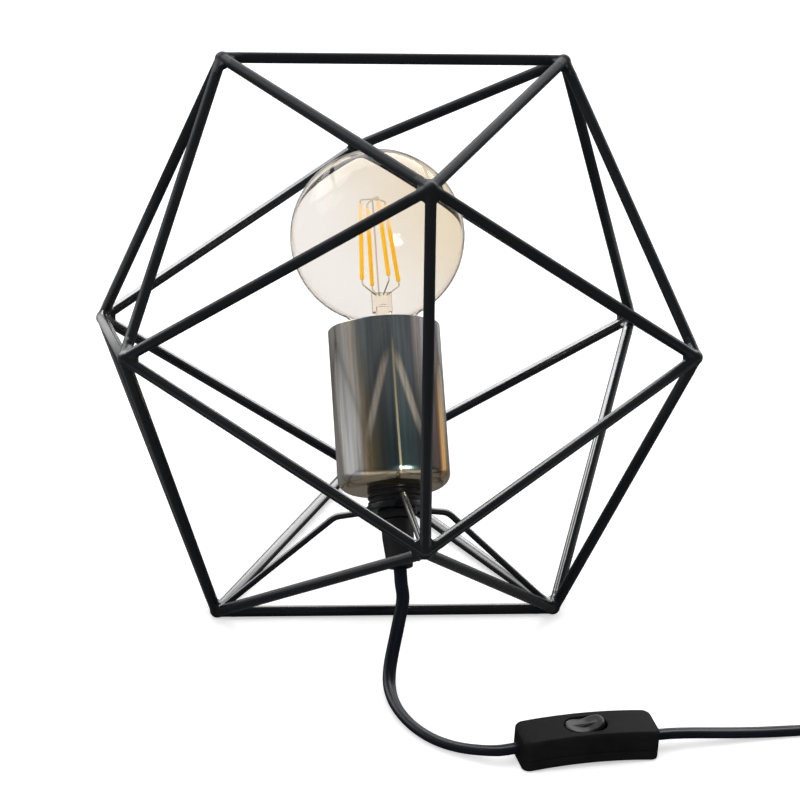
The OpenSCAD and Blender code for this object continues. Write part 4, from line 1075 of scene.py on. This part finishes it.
# %% Switch: cover
WALL, EDGE_R, JOINT = 1.8, 1.5, 0.25
ROOF = SWITCH_H - WALL
joint_plan = shell_plan(JOINT, PLAN_R - 0.2)
side_plan = shell_plan(0, PLAN_R)
top_plan = shell_plan(EDGE_R, PLAN_R - EDGE_R * 0.9)
inner_plan = shell_plan(WALL, 2.2)
slot_plan = plan(9.7, 6.0, 6.0, PIVOT_X)
slot_lip = plan(10.0, 6.3, 6.3, PIVOT_X)
rings = [arched(joint_plan, BASE_H + 0.05), arched(side_plan, BASE_H + 0.35)]
for k in range(8):
    a = math.radians(90 * k / 7)
    inset = EDGE_R * (1 - math.cos(a))
    rings.append(arched(shell_plan(inset, PLAN_R - inset * 0.9),
                        SWITCH_H - EDGE_R + EDGE_R * math.sin(a)))
rings += between(top_plan, slot_lip, 8, SWITCH_H)
rings += [arched(slot_lip, SWITCH_H), arched(slot_plan, SWITCH_H - 0.3), arched(slot_plan, ROOF)]
rings += between(slot_plan, inner_plan, 6, ROOF)
rings += [arched(inner_plan, ROOF), arched(inner_plan, BASE_H + 0.05)]
cover = lofted("switch_top_shell", rings, SWITCH, wrap=True, place=SWITCH_AT, slot="switch_black")
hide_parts("switch_cover")
print("cover faces", len(cover.data.polygons))

# %% [markdown]
# The base has two round recesses underneath, each with a hole for its screw. A skin over
# rings can't branch, so the recesses are cut with a Boolean modifier. Its result takes
# the place of the mesh, and nothing live is left on the piece.

# %% Switch: base with its two screw recesses
spine = plan(26.0, 0.3, 0.3)
rings = [arched(spine, 0.0)] + between(spine, shell_plan(1, 3.0), 6, 0.0)
for k in range(6):
    a = math.radians(90 * k / 5)
    inset = 1.0 - math.sin(a)
    rings.append(arched(shell_plan(inset, PLAN_R - inset * 0.8), 1.0 - math.cos(a)))
rings += [arched(side_plan, BASE_H - 0.3), arched(joint_plan, BASE_H - 0.02),
          arched(inner_plan, BASE_H - 0.02), arched(inner_plan, WALL)]
rings += between(inner_plan, spine, 5, WALL) + [arched(spine, WALL)]
base = lofted("switch_bottom_shell", rings, SWITCH, place=SWITCH_AT, slot="switch_black")
drills = bmesh.new()
for side in (1, -1):
    at = SWITCH_AT @ Matrix.Translation((side * 23.1, side * 5.6, 0))
    spin(drills, [(0, -2), (2.2, -2), (2.2, 2.15), (1.32, 2.15), (1.32, 6), (0, 6)], 40, at)
bmesh.ops.recalc_face_normals(drills, faces=drills.faces)
bmesh.ops.scale(drills, vec=(MM, MM, MM), verts=drills.verts)
drill = as_object("drills", drills)
cut = base.modifiers.new("recesses", "BOOLEAN")
cut.operation, cut.solver, cut.object = "DIFFERENCE", "EXACT", drill
with_recesses = applied(base)
base.modifiers.clear()
base.data = with_recesses
bpy.data.objects.remove(drill)
base.data.set_sharp_from_angle(angle=math.radians(40))
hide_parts("switch_base")
print("base faces", len(base.data.polygons))

# %% [markdown]
# The rocker is a small oblong cap that turns on a pin. Its face is a soft valley between
# two crests, so the outlines on it take their heights from one function of x. At rest
# its left end is pressed down by eight degrees.

# %% Switch: rocker
ROCKER_L, ROCKER_W, ROCKER_R, REST_TURN = 17.6, 11.4, 5.7, -8
CREST_X, VALLEY_Z, CREST_H, SOFT = 7.6, 2.8, 1.6, 0.05
ON_ROCKER = (SWITCH_AT @ Matrix.Translation((PIVOT_X, 0, PIVOT_Z))
             @ Matrix.Rotation(math.radians(REST_TURN), 4, "Y"))


def rocker_plan(inset, r):
    return plan(ROCKER_L / 2 - inset, ROCKER_W / 2 - inset, r)


def face_height(x):
    """Height of the rocker's face over its pin."""
    t = abs(x) / CREST_X
    if t > 1:
        return VALLEY_Z + CREST_H - 0.35 * ((abs(x) - CREST_X) / 1.2) ** 2
    return VALLEY_Z + CREST_H * (math.sqrt(t * t + SOFT) - math.sqrt(SOFT)) / (
        math.sqrt(1 + SOFT) - math.sqrt(SOFT))


def on_face(points, drop=0.0):
    return [(p.x, p.y, face_height(p.x) - drop) for p in points]


rings = [[(p.x, p.y, -1.4) for p in plan(3.5, ROCKER_W / 2 - 0.2, 0.5)],
         [(p.x, p.y, 0.3) for p in rocker_plan(0, ROCKER_R)]]
rings += [on_face(rocker_plan(inset, ROCKER_R - inset), drop) for inset, drop in (
    (0.0, 0.6), (0.06, 0.34), (0.2, 0.15), (0.42, 0.03), (0.7, 0.0))]
rim, middle = rocker_plan(0.7, 5.0), plan(5.0, 0.2, 0.2)
rings += [on_face([a.lerp(b, k / 6) for a, b in zip(rim, middle)]) for k in range(1, 6)]
rocker = lofted("rocker_cap", rings, ROCKER, ON_ROCKER, body="rocker", slot="switch_black")
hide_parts("rocker")
print("rocker faces", len(rocker.data.polygons))

# %% [markdown]
# The plug lies by the coil, beyond the edge of the picture. It is moulded onto the flex
# in one piece: a ribbed, tapering sleeve that lets the flex bend, and a flat body that
# widens towards its pins.

# %% Plug
PLUG_AT = coil_exit + Vector((0, 41, -COIL_LOW - COIL_LIFT + 6.9))


def plug_ring(y, half_w, half_t, r):
    """An outline across the plug, at y along it."""
    return [(p.x, y, p.y) for p in plan(half_w, half_t, r, long_n=8, short_n=4)]


rings = [plug_ring(0.0, 3.1, 2.0, 1.9), plug_ring(0.0, 3.9, 2.6, 2.4)]
for k in range(8):
    y = 0.8 + 3.0 * k
    share = y / 25
    w, t = 4.1 + 2.6 * share, 2.75 + 2.6 * share
    for dy, cut in ((0.0, 0.0), (1.7, 0.0), (1.9, 0.55), (2.8, 0.55)):
        rings.append(plug_ring(y + dy, w + dy * 0.1 - cut, t + dy * 0.1 - cut, t - cut))
rings += [plug_ring(*outline) for outline in (
    (25.0, 8.6, 5.8, 5), (25.4, 10.6, 6.5, 4.6), (26.4, 11.8, 6.82, 4.2), (29, 12.7, 6.88, 4),
    (33, 14.3, 6.9, 4), (37, 15.9, 6.9, 4), (41, 17.2, 6.9, 4), (45, 17.46, 6.9, 4),
    (59.8, 17.46, 6.9, 4), (60.6, 17.2, 6.65, 3.9), (60.95, 16.6, 6.1, 3.6))]
plug = lofted("moulded_plug", rings, PLUG, Matrix.Translation(PLUG_AT), smooth_angle=32,
              slot="plug_black")
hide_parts("plug_body")
print("plug at", [round(v, 1) for v in PLUG_AT])

# %% [markdown]
# Inside the holder and the switch the flex ends, and its two cores run on to their
# terminals, blue and brown. They are thin, bent and short, so the wire tree makes them.

# %% Flex: its ends indoors
def core_coat(name, tone):
    f = Finish(name, tone, Roughness=0.4)
    f.vary(Roughness=f.noise(200.0) * 0.2 + 0.3)
    return f.material


BLUE, BROWN = core_coat("core_blue", (0.05, 0.13, 0.42)), core_coat("core_brown", (0.16, 0.06, 0.025))
TUBE_TOP, BASE_TOP, BLOCK_Z, CORE_D = CUP_Z + 11.0, CUP_Z + 26.0, 5.2, 2.2
inner_points = unrolled(in_holder(0, 0, z) for z in (TUBE_TOP + 2, 30, GRIP_END + 0.1))
inner_flex, _ = sweep("inner_flex", inner_points, flex_section(), FLEX, slot="flex_black")
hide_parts("holder_lead")

for name, coat, x_side, y_side in (("cores_brown", BROWN, -1, 1), ("cores_blue", BLUE, 1, -1)):
    path = [in_holder(x_side * x, 0, z) for x, z in (
        (1.1, TUBE_TOP + 2.1), (1.1, TUBE_TOP + 3.2), (8, BASE_TOP - 9.6), (8, BASE_TOP - 7.2))]
    upper_core = wires("holder_" + name, [path], CORE_D, 1.2, coat, "core_sheath")
    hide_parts("holder_cores")
    ends = [[in_switch(end * x, y_side * y, z) for x, y, z in (
        (23.9, 1.3, 7), (23.2, 1.3, 7), (19.8, 3.5, BLOCK_Z), (18.7, 3.5, BLOCK_Z))] for end in (1, -1)]
    switch_core = wires("switch_" + name, ends, CORE_D, 0.6, coat, "core_sheath")
    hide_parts("switch_cores")
print("inner flex from", [round(v, 1) for v in inner_points[0][0]])

# %% [markdown]
# Some packed solids stay as they are, such as the socket and the inside of the switch.
# Their meshes aren't touched: they only get a finish in their own material slots, which
# is brass, steel, dark moulded plastic or glass.

# %% Finishes for the solids that stay
CAP_METAL = bright_steel("cap_metal", (0.74, 0.73, 0.70), 0.3)
PIN_METAL = bright_steel("pin_metal", (0.70, 0.68, 0.62), 0.2)
TUBE_STEEL = bright_steel("tube_steel", (0.55, 0.54, 0.52), 0.3)
INSULATOR = satin_black("insulator", 0.08, 0.2, (0.03, 0.022, 0.045))
TIE = satin_black("tie_plastic", 0.4, 0.55, (0.02, 0.02, 0.022))
SCREW = satin_black("screw_lacquer", 0.25, 0.4, (0.02, 0.02, 0.022))
WHITE = satin_black("plunger_plastic", 0.35, 0.5, (0.72, 0.69, 0.62), 700.0, 0.00002)
STAYS = {
    CAGE: ["ring_welds"],
    TUBE_STEEL: ["threaded_tube"],
    SCREW: ["clamp_screw", "switch_screws"],
    SOCKET: ["socket_base", "socket_sleeve"],
    BRASS: ["screw_shell", "centre_contact", "socket_terminals", "tip_contact", "contact_seesaw",
            "contact_posts", "switch_terminals"],
    STEEL: ["socket_screws", "rocker_pin", "plunger_spring"],
    STEM_GLASS: ["glass_stem"],
    CAP_METAL: ["bulb_cap"],
    INSULATOR: ["cap_insulator"],
    TIE: ["coil_tie"],
    PLUG: ["pin_sleeves"],
    PIN_METAL: ["plug_pins"],
    SWITCH: ["cord_clamps"],
    WHITE: ["plunger"],
}
for material, nodes in STAYS.items():
    for node in nodes:
        for slot in bpy.data.objects[node].material_slots:
            slot.material = material
print("kept solids", sum(len(n) for n in STAYS.values()))

# %% [markdown]
# The flex counts as two cords: one from the holder to the switch, and one from the switch
# to the plug. The length of the whole flex is printed.

# %% Cords
lamp_points[0][0] * MM
[p * MM for p, _ in lamp_points]
supply_points[0][0] * MM
[p * MM for p, _ in supply_points]
print("whole flex", round(lamp_length + supply_length + SWITCH_L * MM, 3), "m")

# %% [markdown]
# The room is white for the camera and through the glass. In reflections its back wall is
# white too, but its front wall is grey, or the black lacquer would turn pale. Light Path
# tells these apart, and the light that falls on the lamp has a level of its own.

# %% Room
WALL_LIGHT, FRONT_WALL, BACK_WALL = 0.6, 0.25, 1.0


def room():
    world = bpy.data.worlds.new("room")
    world.use_nodes = True
    world.node_tree.nodes.clear()
    tree = Tree(world.node_tree)

    def pick(flag, off, on):
        return tree.node("ShaderNodeMix", **{"0": flag, "2": off, "3": on})

    depth, height = tree.parts(tree.node("ShaderNodeTexCoord", output="Generated"), "YZ")
    behind = depth.step(-0.3, 0.1) * height.step(0.6, 0.9, 1, 0)
    glossy_ray, camera_ray, through_glass = tree.rays("Glossy", "Camera", "Transmission")
    light = pick(glossy_ray, WALL_LIGHT, pick(behind, FRONT_WALL, BACK_WALL))
    for flag in (camera_ray, through_glass):
        light = pick(flag, light, 1.0)
    shown = tree.node("ShaderNodeBackground", Color=(1, 1, 1, 1), Strength=light)
    tree.node("ShaderNodeOutputWorld", Surface=shown)
    bpy.context.scene.world = world


room()
print("room light", WALL_LIGHT, "mirrored from", FRONT_WALL, "to", BACK_WALL)

# %% [markdown]
# Two soft lamps light the object. The others are cards and a window, which only show in
# reflections: they draw the pale bands along the glossy rods, add a little to the
# reflections painted in the cup's colour, and the window draws its patch on the globe.
# Light linking keeps the window to the globe and the cup, and the high card to the rods
# and welds around the waist, where the bands are broad.

# %% Lamps
def soft_lamp(name, at, to, size, power, mirrored=False):
    """An area lamp that looks from one point to another. A mirrored one lights nothing."""
    data = bpy.data.lights.new(name, "AREA")
    data.shape, data.size, data.size_y, data.energy = "RECTANGLE", size[0], size[1], power
    lamp = bpy.data.objects.new(name, data)
    lamp.location = at
    lamp.rotation_euler = (Vector(to) - Vector(at)).to_track_quat("-Z", "Y").to_euler()
    lamp.visible_camera = False
    lamp.visible_transmission = False
    lamp.visible_diffuse = not mirrored
    lamp.visible_glossy = mirrored
    bpy.context.collection.objects.link(lamp)
    return lamp


def shows_on(lamp, *names):
    """Keeps a lamp's light to these pieces."""
    group = bpy.data.collections.new(lamp.name + "_shows_on")
    for name in names:
        group.objects.link(bpy.data.objects[name])
    lamp.light_linking.receiver_collection = group


soft_lamp("overhead", (0.0, 0.2, 1.6), (0, 0, 0.1), (1.4, 1.4), 10)
soft_lamp("key", (-1.2, -0.8, 1.1), (0, 0, 0.12), (0.7, 1.0), 6)
soft_lamp("back_card", (0.5, 1.5, 0.95), (0.5, 0, 0.1), (5.0, 1.2), 160, mirrored=True)
soft_lamp("left_card", (-1.1, 0.7, 0.95), (0, 0.05, 0.08), (1.2, 0.9), 30, mirrored=True)
window = soft_lamp("window", (0.49, -1.31, 0.71), (0, 0.03, 0.17), (0.30, 0.36), 42, mirrored=True)
shows_on(window, globe.name, cup.name)
high_card = soft_lamp("high_card", (-0.44, 0.33, 1.11), (0.10, 0.08, 0.07), (0.8, 0.9), 45,
                      mirrored=True)
shows_on(high_card, "cage_lower_rods", "cage_waist_rods", "bent_leg_front", welds.name)

# %% [markdown]
# The floor is white paper that takes the lamp's shadow. Where the camera sees it, alone
# or through glass, a little glow lifts it to white. Near the lamp it is darker in
# reflections, so that the undersides of the rods stay black.

# %% Floor
PAPER, IN_REFLECTIONS, GLOW = (0.86, 0.86, 0.86), (0.18, 0.18, 0.18), 0.5


def floor_paper():
    f = Finish("floor_paper", PAPER, Roughness=1.0, Specular_IOR_Level=0.0)
    camera_ray, glossy_ray, through_glass = f.rays("Camera", "Glossy", "Transmission")
    far = f.node("ShaderNodeVectorMath", {"operation": "LENGTH"}, output="Value", **{"0": f.place()})
    darker = glossy_ray * (1 - through_glass) * (1 - far.step(0.2, 0.4))
    f.vary(Base_Color=f.mix(darker, PAPER, IN_REFLECTIONS))
    lit = Value(f, f.shader.outputs[0])
    glow = f.node("ShaderNodeEmission", Strength=GLOW)
    lifted = f.node("ShaderNodeAddShader", **{"0": lit, "1": glow})
    seen = camera_ray.maths("MAXIMUM", through_glass)
    shown = f.node("ShaderNodeMixShader", **{"0": seen, "1": lit, "2": lifted})
    f.tree.links.new(shown.socket, f.tree.nodes["Material Output"].inputs["Surface"])
    return f.material


HALF = 6
floor_mesh = bpy.data.meshes.new("floor")
floor_mesh.from_pydata([(-HALF, -HALF, 0), (HALF, -HALF, 0), (HALF, HALF, 0), (-HALF, HALF, 0)], [],
                       [(0, 1, 2, 3)])
floor_mesh.materials.append(floor_paper())
floor = bpy.data.objects.new("floor", floor_mesh)
bpy.context.collection.objects.link(floor)
bpy.context.scene.view_settings.view_transform = "Standard"
print("floor", 2 * HALF, "m wide")

# %% [markdown]
